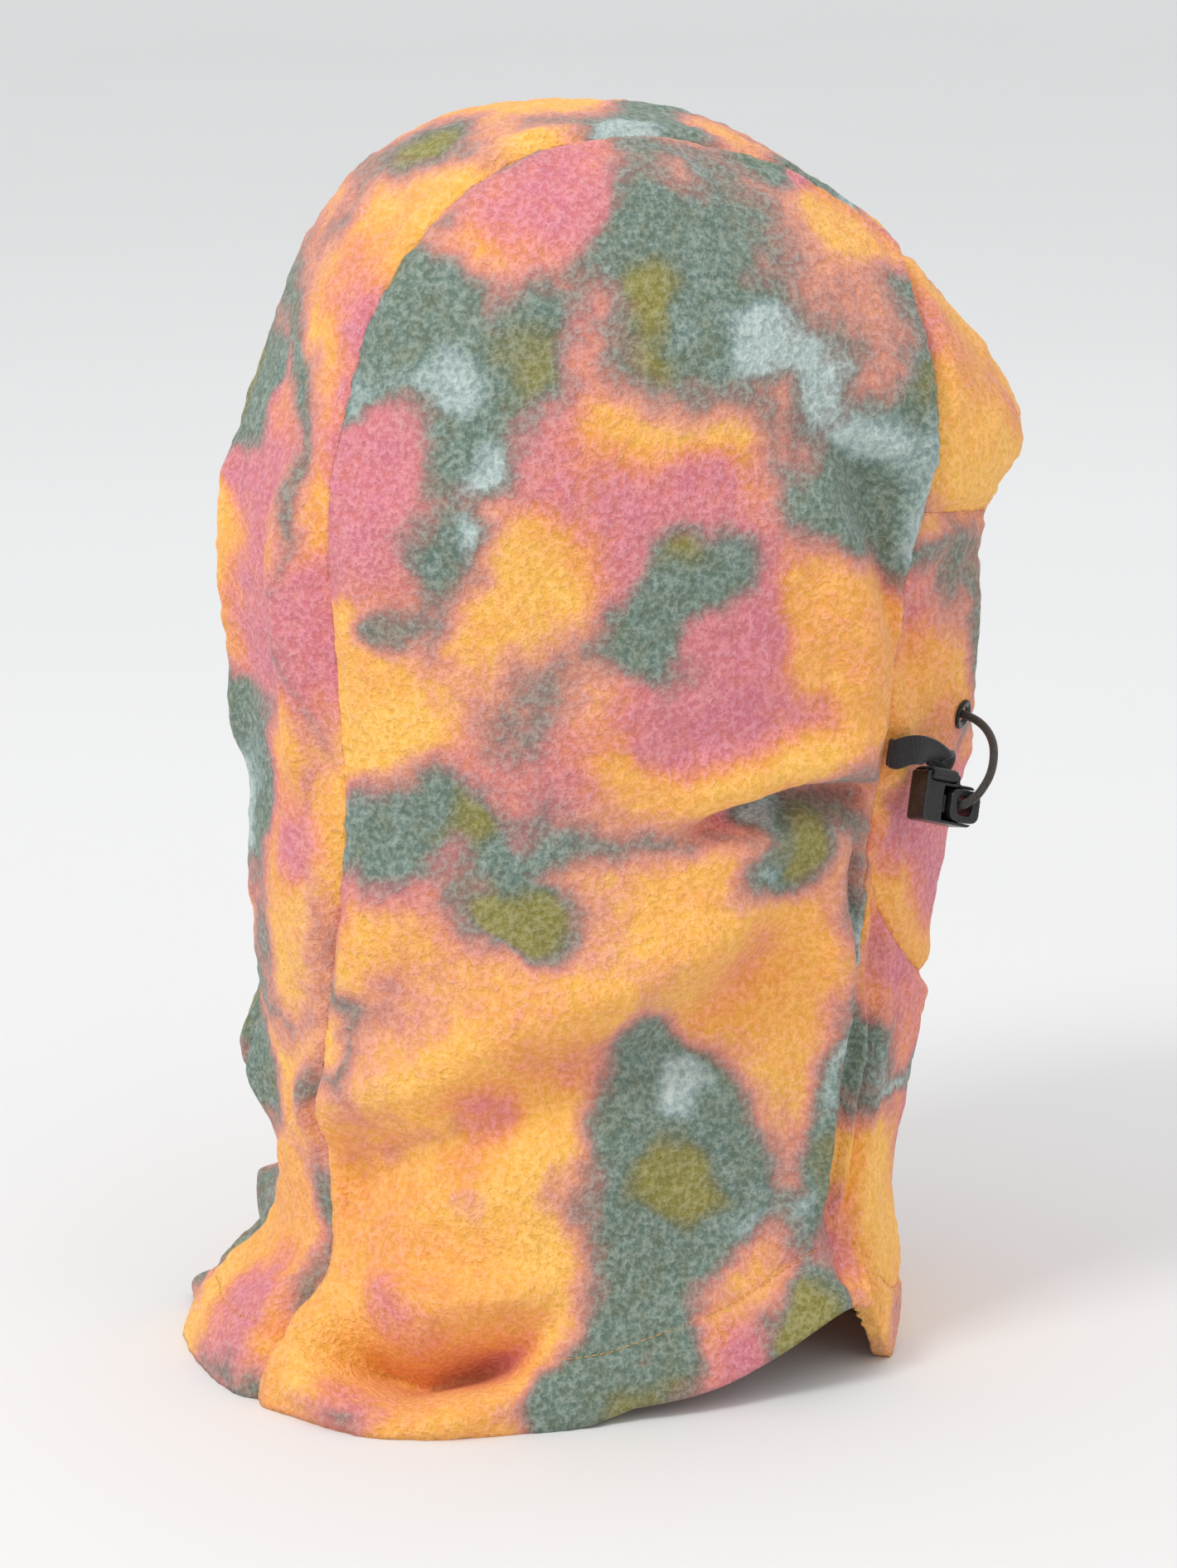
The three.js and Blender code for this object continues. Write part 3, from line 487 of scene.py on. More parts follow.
def drape(places, points):
    """How far the fleece stands outside its plain skin."""
    degrees = np.abs(np.degrees(places[..., 0]))
    u = degrees * DEGREE_LENGTH
    v = points[..., 2]
    off = sum(height * noise(points, size, seed) for height, size, seed in RUMPLES)
    for line, push, width, shift in FOLDS:
        flat = [(d * DEGREE_LENGTH, z) for d, z in line]
        signed, along, total = off_line(u, v, flat)
        fade = smooth(along, 0, FOLD_END) * smooth(total - along, 0, FOLD_END)
        wander = FOLD_WANDER * noise(points, 30, 5)
        off += push * fade * np.exp(-(((signed - shift + wander) / width) ** 2))
    gathers = smooth(degrees, 44, 50) * (1 - smooth(degrees, 60, 64))
    gathers = gathers * smooth(v, 8, 22) * (1 - smooth(v, 34, 52))
    off += GATHER_DEPTH * gathers * np.sin(u * 2 * np.pi / GATHER_PITCH + 0.12 * v)
    for seat, near, far in SEATS:
        for mirror in (1, MIRROR):
            off *= smooth(np.linalg.norm(points - seat * mirror, axis=-1), near, far)
    return off


def across_grid(points):
    """Outward normals of a grid of points, and whether its faces must be turned to match."""
    down = np.gradient(points, axis=0)
    along = np.gradient(points, axis=1)
    normal = unit(np.cross(down, along))
    middle = points.reshape(-1, 3).mean(0) * (0, 0, 1) + np.array([0, 0, -40.0])
    inside_out = np.sum(normal * (points - middle)) < 0
    return (-normal, True) if inside_out else (normal, False)


def grid_faces(rows, cols, start=0):
    index = np.arange(rows * cols).reshape(rows, cols) + start
    return np.stack([index[:-1, :-1], index[1:, :-1], index[1:, 1:], index[:-1, 1:]], -1).reshape(-1, 4)


def border(rows, cols):
    index = np.arange(rows * cols).reshape(rows, cols)
    return np.concatenate([index[0, :-1], index[:-1, -1], index[-1, :0:-1], index[:0:-1, 0]])


def cloth_mesh(name, outer, inner, roundness):
    """A closed sheet between two grids, with its edges rounded outwards by a share of its thickness."""
    rows, cols = outer.shape[:2]
    size = rows * cols
    edge = border(rows, cols)
    out = unit(np.concatenate([
        (outer[0] - outer[1])[:-1], (outer[:, -1] - outer[:, -2])[:-1],
        (outer[-1] - outer[-2])[:0:-1], (outer[:, 0] - outer[:, 1])[:0:-1],
    ]))
    top = outer.reshape(-1, 3)[edge]
    bottom = inner.reshape(-1, 3)[edge]
    half = np.linalg.norm(top - bottom, axis=1, keepdims=True) / 2
    bulge = roundness.reshape(-1)[edge][:, None] * half
    rings = [edge]
    extra = []
    for k in (1, 2, 3):
        turn = math.pi * k / 4
        share = (1 + math.cos(turn)) / 2
        extra.append(top * share + bottom * (1 - share) + out * bulge * math.sin(turn))
        rings.append(2 * size + len(edge) * (k - 1) + np.arange(len(edge)))
    rings.append(edge + size)
    faces = [grid_faces(rows, cols), grid_faces(rows, cols, size)[:, ::-1]]
    for a, b in zip(rings, rings[1:]):
        faces.append(np.stack([a, np.roll(a, -1), np.roll(b, -1), b], -1))
    points = np.vstack([outer.reshape(-1, 3), inner.reshape(-1, 3), *extra])
    faces = np.vstack(faces)
    normal, turned = across_grid(outer)
    return sheet_piece(name, points, faces[:, ::-1] if turned else faces)


def sheet_piece(name, points, faces):
    mesh = bpy.data.meshes.new(name)
    mesh.vertices.add(len(points))
    mesh.vertices.foreach_set("co", (points * MM).ravel())
    mesh.loops.add(faces.size)
    mesh.loops.foreach_set("vertex_index", np.ascontiguousarray(faces).ravel())
    mesh.polygons.add(len(faces))
    mesh.polygons.foreach_set("loop_start", np.arange(0, faces.size, 4))
    mesh.update(calc_edges=True)
    mesh.shade_smooth()
    thing = bpy.data.objects.new(name, mesh)
    bpy.context.scene.collection.objects.link(thing)
    return thing


# ---- Fleece: its print, pile and seams -----------------------------------------------------------
# Brushed fleece printed all over with a soft random wash: winding sage green strokes and islands
# with pale or olive middles and a mauve edge, on a ground that runs from golden through coral to pink.
# Each piece is cut from its own place on the cloth, so the print breaks off at the seams.
CUT_STEP = 170  # how far apart on the cloth the pieces are cut
STROKE_HALF = 3
STROKE_VARIES = 20
STROKE_FALL = 100
ISLAND_START = 0.34
ISLAND_RISE = 55
GREEN_RANGE = 80  # millimetres into and out of the green that the stored print covers
LEAN = math.radians(37)
TILT = math.radians(29)
ASKEW = np.array([
    (math.cos(LEAN), -math.sin(LEAN) * math.cos(TILT), math.sin(LEAN) * math.sin(TILT)),
    (math.sin(LEAN), math.cos(LEAN) * math.cos(TILT), -math.cos(LEAN) * math.sin(TILT)),
    (0, math.sin(TILT), math.cos(TILT)),
])


def wash(at, size, seed):
    """Cloudy noise in layers that lie askew to each other, so that it has no grain."""
    askew = at @ ASKEW
    broad = noise(askew, size, seed) + 0.6 * noise(at @ ASKEW.T, size * 0.8, seed + 10)
    return 0.8 * (broad + 0.35 * noise(askew, size * 0.45, seed + 20))


def printed(thing, cut):
    """Stores the print on a piece's points: green as red, ground as green and middles as blue."""
    count = len(thing.data.vertices)
    points = np.empty(count * 3)
    thing.data.vertices.foreach_get("co", points)
    points = points.reshape(-1, 3) / MM
    wander = np.stack([noise(points, 21, s) * 5 + noise(points, 8, s + 3) * 2.2 for s in (21, 22, 23)], 1)
    at = points + wander + cut * CUT_STEP
    stroke = STROKE_HALF + STROKE_VARIES * wash(at, 70, 66) - STROKE_FALL * np.abs(wash(at, 100, 61))
    green = np.maximum(stroke, ISLAND_RISE * (wash(at, 48, 62) - ISLAND_START))
    blush = smooth(wash(at, 52, 63), 0.0, 0.75)
    ground = (0.12 + 0.2 * noise(points, 38, 31)) * (1 - blush) + 0.95 * blush
    middle = smooth(wash(at, 40, 64), 0.16, 0.6) - smooth(wash(at, 40, 65), 0.16, 0.6)
    middle *= smooth(green, 0, 8)
    depth = np.clip(0.5 + green / GREEN_RANGE, 0, 1)
    shade = np.stack([depth, np.clip(ground, 0, 1), 0.5 + middle / 2, np.ones(count)], 1)
    layer = thing.data.attributes.new("print", "FLOAT_COLOR", "POINT")
    layer.data.foreach_set("color", shade.astype(np.float32).ravel())


fleece = Finish(
    "printed_fleece",
    {"Roughness": 0.95, "Specular IOR Level": 0.1, "Sheen Weight": 0.16, "Sheen Roughness": 0.5},
)
ink = fleece.node("ShaderNodeAttribute", {"attribute_name": "print"})
channels = fleece.node("ShaderNodeSeparateColor", sockets={"Color": ink})
red, green, blue = (Wire(fleece.tree, channels.socket.node.outputs[i]) for i in range(3))
clumps = fleece.noise(0.0045, 2, 0.5)
tufts = fleece.noise(0.0019, 2, 0.55)
strands = fleece.noise(0.0008, 2, 0.6)
clouds = fleece.noise(0.018, 3, 0.55)
depth = (red - 0.5) * GREEN_RANGE + (tufts - 0.5) * 8 + (clumps - 0.5) * 9 + (clouds - 0.5) * 10


def between(wire, low, high):
    """0 below low and 1 above high, with a soft step."""
    sockets = {0: wire, 1: low, 2: high}
    return fleece.node("ShaderNodeMapRange", {"interpolation_type": "SMOOTHSTEP"}, sockets)


warmth = green + (tufts - 0.5) * 0.45 + (clumps - 0.5) * 0.4 + (clouds - 0.5) * 0.4
colour = fleece.ramp(
    warmth, (0.0, dye("#FABB55")), (0.3, dye("#F2A450")), (0.55, dye("#E88F62")),
    (0.8, dye("#DC7F7E")), (1.0, dye("#CF7587")),
)
colour = fleece.mixed(colour, dye("#D07C82"), between(depth, -22.0, -5.0) * 0.75)
colour = fleece.mixed(colour, dye("#8E7470"), between(depth, -10.0, 2.0) * 0.85)
sage = fleece.ramp(
    blue + (tufts - 0.5) * 0.2 + (clumps - 0.5) * 0.25 + (clouds - 0.5) * 0.25,
    (0.0, dye("#8A8442")), (0.3, dye("#6F7558")), (0.5, dye("#667B70")),
    (0.75, dye("#869B98")), (1.0, dye("#A9BAB8")),
)
colour = fleece.mixed(colour, sage, between(depth, -4.0, 9.0))
# Painted highlight and shade of the pile: the colour is mixed towards pale cream on the tops of the tufts,
# and scaled lighter there and darker between the tufts and clumps.
tuft_highlight = between(tufts * 0.7 + strands * 0.3, 0.36, 0.66)
colour = fleece.mixed(colour, dye("#FFF1DC"), tuft_highlight * 0.12)
fleece.feed("Base Color", fleece.shaded(colour, tuft_highlight * 0.24 + clumps * 0.16 + 0.87))
fleece.bump(tufts * 0.65 + strands * 0.2 + clumps * 0.5, 0.0022, 0.9)

lining = Finish("fleece_inside", {"Roughness": 0.95, "Specular IOR Level": 0.1, "Sheen Weight": 0.2})
pile = lining.noise(0.0019, 3, 0.6)
lining.feed("Base Color", lining.ramp(pile, (0.2, dye("#A8622A")), (0.8, dye("#D98A45"))))
lining.bump(pile, 0.001, 0.7)

SEAM_DEPTH = 2.3  # how far the panels roll in at a seam
SEAM_REACH = 3.0
SEAM_PINCH = 0.12  # share of the last grid step left open between two panels
STITCH_DEPTH = 0.9


def edge_gaps(points):
    """Distance of each point of a grid from its top, bottom, left and right edges."""
    down = np.linalg.norm(np.diff(points, axis=0), axis=2)
    along = np.linalg.norm(np.diff(points, axis=1), axis=2)
    top = np.vstack([np.zeros((1, points.shape[1])), np.cumsum(down, 0)])
    left = np.hstack([np.zeros((points.shape[0], 1)), np.cumsum(along, 1)])
    return top, top[-1] - top, left, left[:, -1:] - left


def fleece_panel(name, places, hem, cad_node, cut):
    """One cut panel from a grid of places on the skin. Its last row is the hem where hem is true."""
    skin_points = on_skin(places)
    top, bottom, left, right = edge_gaps(skin_points)
    normal = across_grid(skin_points)[0]
    seams = [top, left, right] if hem else [top, bottom, left, right]
    seam = np.minimum.reduce(seams)
    pucker = 1 + 0.35 * noise(skin_points, 5, 41)
    off = drape(places, skin_points) * smooth(seam, 0, 7)
    seam_depth = SEAM_DEPTH * pucker * (0.3 + 0.7 * smooth(skin_points[..., 2], 4, 26))
    off -= seam_depth * np.exp(-((seam / SEAM_REACH) ** 2))
    off += 0.8 * np.exp(-(((seam - 7) / 3.5) ** 2))
    off += 0.5 * noise(skin_points, 3.2, 42)
    thick = np.full(off.shape, FABRIC)
    if hem:
        row = np.exp(-(((bottom - HEM_TURN) / 1.5) ** 2))
        off -= STITCH_DEPTH * row * (1 + 0.4 * noise(skin_points, 4, 43))
        off += 0.5 * smooth(bottom, 0, 3) * (1 - smooth(bottom, HEM_TURN - 5, HEM_TURN - 1))
        thick += 0.85 * FABRIC * (1 - smooth(bottom, HEM_TURN - 3, HEM_TURN + 1))
    rise = smooth(skin_points[..., 2], 0, 3) if hem else np.ones(off.shape)
    upright = normal * np.stack([np.ones(off.shape), np.ones(off.shape), rise], -1)
    outer = skin_points + upright * off[..., None]
    inner = skin_points + upright * (off - thick)[..., None]
    for grid in (outer, inner):
        grid[:, 0] += (grid[:, 1] - grid[:, 0]) * SEAM_PINCH
        grid[:, -1] += (grid[:, -2] - grid[:, -1]) * SEAM_PINCH
        grid[0] += (grid[1] - grid[0]) * SEAM_PINCH
        if hem:
            grid[..., 2] = np.maximum(grid[..., 2], 0.05)
        else:
            grid[-1] += (grid[-2] - grid[-1]) * SEAM_PINCH
    roundness = np.full(off.shape, 0.25)
    if hem:
        roundness[-1] = 0.0
    thing = cloth_mesh(name, outer, inner, roundness)
    printed(thing, cut)
    fleece.on(thing)
    down, across = outer[1:, :-1] - outer[:-1, :-1], outer[:-1, 1:] - outer[:-1, :-1]
    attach(thing, "hood")
    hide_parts(cad_node)
    return outer, normal, bottom


def grid_between(first, last, count):
    share = np.linspace(0, 1, count)[None, :, None]
    return first[:, None] * (1 - share) + last[:, None] * share


def crown_half(level):
    z = section(level)[..., 1]
    nape = smooth(z, 70, 190) * (CROWN_HALF_WIDTH + 3 - NAPE_HALF_WIDTH)
    half = NAPE_HALF_WIDTH + nape + (1 - smooth(z, 0, 60)) * 10
    return np.minimum(half, CROWN_HALF_WIDTH + 3 * (1 - smooth(z, 280, 338)))


def crown_line(share, count):
    """A line of the crown panel from the brow, over the head and down the neck to the hem."""
    levels = np.linspace(0, TOP, 4000)
    fits = section(levels)[:, 4] >= abs(share) * CROWN_HALF_WIDTH
    turn = levels[np.nonzero(fits)[0][-1]] if share else TOP
    first = front_line[besides(abs(share))] if share else at_height(0, BROW_TOP)
    front = first[1] + (turn - first[1]) * np.sin(np.linspace(0, np.pi / 2, 200))
    behind = turn * np.cos(np.linspace(0, np.pi / 2, 500)) ** 0.8
    rows = []
    for level, back in ((front, False), (behind, True)):
        s = section(level)
        half = np.where(back & (level < 19), crown_half(level), CROWN_HALF_WIDTH)
        sine = np.clip(abs(share) * half / np.maximum(s[:, 4], 1e-6), 0, 1) ** (s[:, 6 if back else 5] / 2)
        angle = np.arcsin(sine)
        rows.append(np.stack([np.pi - angle if back else angle, level], 1))
    rows[0][0] = first
    line = spaced(np.vstack(rows), count)
    return line * (1 if share >= 0 else -1, 1)


# ---- Crown panel ---------------------------------------------------------------------------------
# One strip of the fleece from the brow over the head, down the neck and into the flared hem, sewn
# to a side panel along each of its long edges.
CROWN_COLUMNS = 53
LENGTH_ROWS = 400
crown_places = np.stack([crown_line(s, LENGTH_ROWS) for s in np.linspace(-1, 1, CROWN_COLUMNS)], 1)
hem_panels = [fleece_panel("crown_fleece", crown_places, True, "crown_panel", 1)]

# ---- Side panels ---------------------------------------------------------------------------------
# One for each side of the head, from the crown seam to the cheek and the throat. Their front edge is
# sewn to the brow band, the chin panel and the throat panel, and they end in the turned hem.
SIDE_COLUMNS = 150
side_front = stretch(brow_corner + 14, FINE - 1, LENGTH_ROWS)
fine_back = crown_line(1, 3000)
side_back = spaced(fine_back[20:], LENGTH_ROWS)
side_places = grid_between(side_front, side_back, SIDE_COLUMNS)
left_places = mirrored(side_places)[:, ::-1]
hem_panels.append(fleece_panel("side_fleece_right", side_places, True, "side_panel_right", 2))
hem_panels.append(fleece_panel("side_fleece_left", left_places, True, "side_panel_left", 3))

# ---- Brow band -----------------------------------------------------------------------------------
# A curved strip over the forehead, from the rim of the face opening up to the face seam.
OPENING_MIDDLE = 237.5
OPENING_HALF_HEIGHT = 51.5
OPENING_HALF_ANGLE = 40
RIM_ROUNDNESS = 2.5
CHEEK_TURN = 60  # where the brow band meets the chin panel on the rim, in degrees from its top


def signed_power(v, power):
    return np.sign(v) * np.abs(v) ** power


def rim(turn, grown=0.0):
    """Places round the face opening, or a ring wider by grown millimetres."""
    turn = np.radians(turn)
    z = OPENING_MIDDLE + (OPENING_HALF_HEIGHT + grown) * signed_power(np.cos(turn), 2 / RIM_ROUNDNESS)
    wide = OPENING_HALF_ANGLE + grown / DEGREE_LENGTH
    return at_height(wide * signed_power(np.sin(turn), 2 / RIM_ROUNDNESS), z)


HALF_BROW = 70
BROW_ROWS = 34
brow_start = int(np.argmax(front_line[:, 0] >= 0))
brow_seam = both_sides(stretch(brow_start, cheek_corner, HALF_BROW))
brow_rim = both_sides(rim(np.linspace(0, CHEEK_TURN, HALF_BROW)))
brow_places = np.moveaxis(grid_between(brow_seam, brow_rim, BROW_ROWS), 0, 1)
fleece_panel("brow_fleece", brow_places, False, "brow_band", 4)

# ---- Chin panel ----------------------------------------------------------------------------------
# The rest of the ring round the face opening, down both cheeks and under the chin. An eyelet goes
# through it on each side.
HALF_CHIN = 130
CHIN_ROWS = 36
chin_seam = evenly(places_on(CHIN_SEAM), 1000)
cheek_edge = stretch(cheek_corner, chin_corner, 1000)
lower_seam = both_sides(spaced(np.vstack([chin_seam, cheek_edge[::-1][1:]]), HALF_CHIN))
lower_rim = both_sides(rim(np.linspace(180, CHEEK_TURN, HALF_CHIN)))
chin_places = np.moveaxis(grid_between(lower_rim, lower_seam, CHIN_ROWS), 0, 1)
fleece_panel("chin_fleece", chin_places, False, "chin_panel", 5)

# ---- Throat panel --------------------------------------------------------------------------------
# Under the chin seam, between the side panels, down to the front of the hem.
THROAT_ROWS = 110
throat_edge = stretch(chin_corner, FINE - 1, THROAT_ROWS)
chin_line = both_sides(evenly(places_on(CHIN_SEAM), 70))
throat_places = chin_line[None] / throat_edge[0] * throat_edge[:, None]
hem_panels.append(fleece_panel("throat_fleece", throat_places, True, "throat_panel", 6))

# ---- Drawcord casing -----------------------------------------------------------------------------
# A strip of thin lining cloth sewn inside the rim of the face opening by both its edges. It stands
# away from the fleece between them, and the drawcord runs through the tunnel this leaves.
CASING_FABRIC = 1.4
CASING_EDGE = 1.5
CASING_WIDTH = 20
TUNNEL_HEIGHT = 4.6
FIT = 0.3
casing_shares = np.linspace(0, 1, 15)
casing_turns = np.linspace(0, 360, 321)[:-1]
casing_grown = CASING_EDGE + casing_shares * (CASING_WIDTH - CASING_EDGE)
casing_places = np.stack([rim(casing_turns, grown) for grown in casing_grown])
casing_skin = on_skin(casing_places)
casing_normal, casing_turned = across_grid(casing_skin)
arch = FABRIC + 2 * FIT + (TUNNEL_HEIGHT - 2 * FIT) * np.minimum(np.sin(np.pi * casing_shares) * 1.25, 1)
sag = (drape(casing_places, casing_skin) * 0.6)[..., None]
sag -= (0.35 * np.sin(np.pi * casing_shares)[:, None] * noise(casing_skin, 6, 51))[..., None]
casing_outer = casing_skin - casing_normal * (arch[:, None, None] - sag)
casing_inner = casing_outer - casing_normal * CASING_FABRIC
rows, cols = casing_skin.shape[:2]
index = np.arange(rows * cols).reshape(rows, cols)
around = np.roll(index, -1, axis=1)
band = np.stack([index[:-1], index[1:], around[1:], around[:-1]], -1).reshape(-1, 4)
size = rows * cols
caps = [
    np.stack([index[0], around[0], around[0] + size, index[0] + size], -1),
    np.stack([around[-1], index[-1], index[-1] + size, around[-1] + size], -1),
]
casing_faces = np.vstack([band, band[:, ::-1] + size, *caps])
casing_points = np.vstack([casing_outer.reshape(-1, 3), casing_inner.reshape(-1, 3)])
casing = sheet_piece("casing_cloth", casing_points, casing_faces[:, ::-1] if casing_turned else casing_faces)
lining.on(casing)
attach(casing, "hood")
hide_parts("casing_facing")

# ---- Hem stitching -------------------------------------------------------------------------------
# A row of lockstitch through the turned hem, 22 mm above its edge. Each stitch is a short length of
# spun thread which sinks a little into the fleece at both ends.
STITCH_LENGTH = 2.0
STITCH_PITCH = 2.7
THREAD = 0.2  # radius
thread = Finish("sewing_thread", {"Roughness": 0.7, "Specular IOR Level": 0.3})
twist = thread.noise(0.0004, 2)
thread.feed("Base Color", thread.ramp(twist, (0.3, dye("#C98A48")), (0.7, dye("#E8B06A"))))
thread.bump(twist, 0.0001, 0.5)
stitch_points = []
stitch_faces = []
for outer, normal, hem_gap in hem_panels:
    cross = np.argmin(np.abs(hem_gap - HEM_TURN), axis=0)
    cols = np.arange(outer.shape[1])
    line = outer[cross, cols]
    padded = np.pad(line, ((3, 3), (0, 0)), "edge")
    line = np.stack([np.convolve(padded[:, i], np.ones(7) / 7, "valid") for i in range(3)], 1)
    facing = normal[cross, cols]
    along = np.r_[0, np.cumsum(np.linalg.norm(np.diff(line, axis=0), axis=1))]
    for start in np.arange(3, along[-1] - 4, STITCH_PITCH):
        t = start + np.linspace(0, STITCH_LENGTH, 6)
        middle = np.stack([np.interp(t, along, line[:, i]) for i in range(3)], 1)
        out = unit(np.stack([np.interp(t, along, facing[:, i]) for i in range(3)], 1))
        rise = 0.35 * np.sin(np.linspace(0, np.pi, 6))[:, None] + 0.05
        run = unit(middle[-1] - middle[0])
        side = np.cross(out, run)
        base = len(stitch_points) * 36
        fat = THREAD * np.array([0.4, 0.9, 1, 1, 0.9, 0.4])[:, None, None]
        turn = np.linspace(0, 2 * np.pi, 6, endpoint=False)[None, :, None]
        ring = middle[:, None] + out[:, None] * (rise[:, None] + fat * np.cos(turn))
        ring = ring + side[:, None] * fat * np.sin(turn)
        stitch_points.append(ring.reshape(-1, 3))
        for i in range(5):
            low = base + i * 6
            for j in range(6):
                k = (j + 1) % 6
                stitch_faces.append((low + j, low + k, low + 6 + k, low + 6 + j))
        stitch_faces.append([base + j for j in range(5, -1, -1)])
        stitch_faces.append([base + 30 + j for j in range(6)])
stitches = piece("hem_stitches", np.vstack(stitch_points), stitch_faces)
thread.on(stitches)
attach(stitches, "hood")

# ---- Eyelets -------------------------------------------------------------------------------------
# Pressed black metal, one through each side of the chin panel, with a domed flange whose rim is
# knurled like a coin's edge. A steel washer grips it from inside the casing.
EYELET_HOLE = 2.4
EYELET_WALL = 0.5
EYELET_FLANGE = 4.8
EYELET_CROWN = 1.3
KNURLS = 36
KNURL_DEPTH = 0.16
black_metal = Finish("black_metal", {"Metallic": 0.75, "Coat Weight": 0.4, "Coat Roughness": 0.15})
scuffs = black_metal.noise(0.0009, 4)
black_metal.feed("Base Color", black_metal.ramp(scuffs, (0.35, dye("#0E0E10")), (0.8, dye("#232326"))))
black_metal.feed("Roughness", scuffs * 0.16 + 0.16)
steel = Finish("steel", {"Metallic": 1.0})
drawn = steel.noise(0.0005, 3)
steel.feed("Base Color", steel.ramp(drawn, (0.3, dye("#85878A")), (0.8, dye("#A9ACAF"))))
steel.feed("Roughness", drawn * 0.2 + 0.25)
eyelet_at = on_skin(EYELET_PLACE)
nudge = 1e-3
tangents = [
    skin(EYELET_PLACE[0] + nudge, EYELET_PLACE[1]) - eyelet_at,
    skin(EYELET_PLACE[0], EYELET_PLACE[1] + nudge) - eyelet_at,
]
eyelet_out = unit(np.cross(tangents[1], tangents[0]))
eyelet_out *= np.sign(np.dot(eyelet_out, eyelet_at - (0, 0, eyelet_at[2])))
eyelet_side = unit(np.cross(eyelet_out, (0, 0, 1)))
eyelet_up = np.cross(eyelet_side, eyelet_out)
washer_foot = -FABRIC - FIT - 0.5
barrel = EYELET_HOLE + EYELET_WALL
bead = [(math.cos(a), math.sin(a)) for a in np.linspace(0, np.pi, 9)]
dome = [
    (barrel + (EYELET_FLANGE - barrel) / 2 * (1 + c) - 0.05, FIT + 0.25 + (EYELET_CROWN - FIT - 0.25) * s)
    for c, s in bead
]
profile = [
    (EYELET_HOLE, washer_foot), (barrel, washer_foot), (barrel, FIT), (EYELET_FLANGE - 0.1, FIT),
    *dome[:-1], (EYELET_HOLE + 0.25, FIT + 0.7), (EYELET_HOLE, FIT + 0.2), (EYELET_HOLE, -1.0),
]
turns = np.linspace(0, 2 * np.pi, 6 * KNURLS, endpoint=False)
for side, sign in SIDES:
    rings = []
    for r, h in profile:
        rim_share = smooth(r, EYELET_FLANGE - 0.9, EYELET_FLANGE - 0.1)
        radius = r - KNURL_DEPTH * rim_share * (1 - np.cos(turns * KNURLS)) / 2
        spot = eyelet_at + eyelet_out * h
        spokes = np.cos(turns)[:, None] * eyelet_side + np.sin(turns)[:, None] * eyelet_up
        rings.append(spot + radius[:, None] * spokes)
    points = np.vstack(rings) * (1 if sign > 0 else MIRROR)
    n = len(turns)
    faces = []
    for i in range(len(profile)):
        a, b = i * n, (i + 1) % len(profile) * n
        for j in range(n):
            k = (j + 1) % n
            quad = (a + j, a + k, b + k, b + j)
            faces.append(quad[::sign])
    eyelet = piece(f"eyelet_{side}_ring", points, faces)
    black_metal.on(eyelet)
    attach(eyelet, "hood")
    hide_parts(f"eyelet_{side}")
    steel.on(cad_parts[f"eyelet_washer_{side}"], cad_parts[f"cord_lock_spring_{side}"])

# ---- Ribbons -------------------------------------------------------------------------------------
# Black grosgrain tape, 9 mm wide, sewn double into the face seam. It turns down and loops round the
# bar of the cord lock, and its ribs run across it.
RIBBON_WIDTH = 9
RIBBON_THICKNESS = 1
RIB_PITCH = 0.85
RIB_DEPTH = 0.09
LOCK_MIDDLE = np.array([-84.565, -79.8, 181.4])
LOCK_AXES = np.array([[0.12004, -0.95532, -0.27009], [0.2197, -0.2398, 0.9457], [-0.9682, -0.1729, 0.1811]])
TAPE_MIDDLE = -4.84
BAR_TOP = 9.3
ROOT = on_skin(RIBBON_PLACE)
ROOT_OUT = np.array([-0.935, -0.313, -0.166])
ribbon_cloth = Finish("grosgrain", {"Roughness": 0.62, "Specular IOR Level": 0.35, "Sheen Weight": 0.3})
yarn = ribbon_cloth.noise(0.0005, 3)
ribbon_cloth.feed("Base Color", ribbon_cloth.ramp(yarn, (0.3, dye("#131315")), (0.75, dye("#2B2B2E"))))
ribbon_cloth.bump(yarn, 0.00015, 0.6)


def on_lock(x, y, z):
    return LOCK_MIDDLE + np.array([x, y, z]) @ LOCK_AXES


def tape(line, across, width, thickness):
    """Points and faces of a ribbed tape along a line, lying across the given directions."""
    run = unit(np.gradient(line, axis=0))
    wide = unit(across - run * np.sum(across * run, axis=1, keepdims=True))
    out = np.cross(wide, run)
    along = np.r_[0, np.cumsum(np.linalg.norm(np.diff(line, axis=0), axis=1))]
    ribs = RIB_DEPTH * np.cos(2 * np.pi * along / RIB_PITCH)
    sides = 16
    turn = np.linspace(0, 2 * np.pi, sides, endpoint=False) + np.pi / sides
    x = signed_power(np.cos(turn), 0.28) * width / 2
    y = signed_power(np.sin(turn), 0.55)
    high = thickness / 2 + ribs
    flat = line[:, None] + wide[:, None] * x[None, :, None]
    points = flat + out[:, None] * (high[:, None] * y[None])[..., None]
    faces = []
    for i in range(len(line) - 1):
        for j in range(sides):
            k = (j + 1) % sides
            faces.append((i * sides + j, i * sides + k, (i + 1) * sides + k, (i + 1) * sides + j))
    faces.append(list(range(sides))[::-1])
    faces.append([(len(line) - 1) * sides + j for j in range(sides)])
    return points.reshape(-1, 3), faces


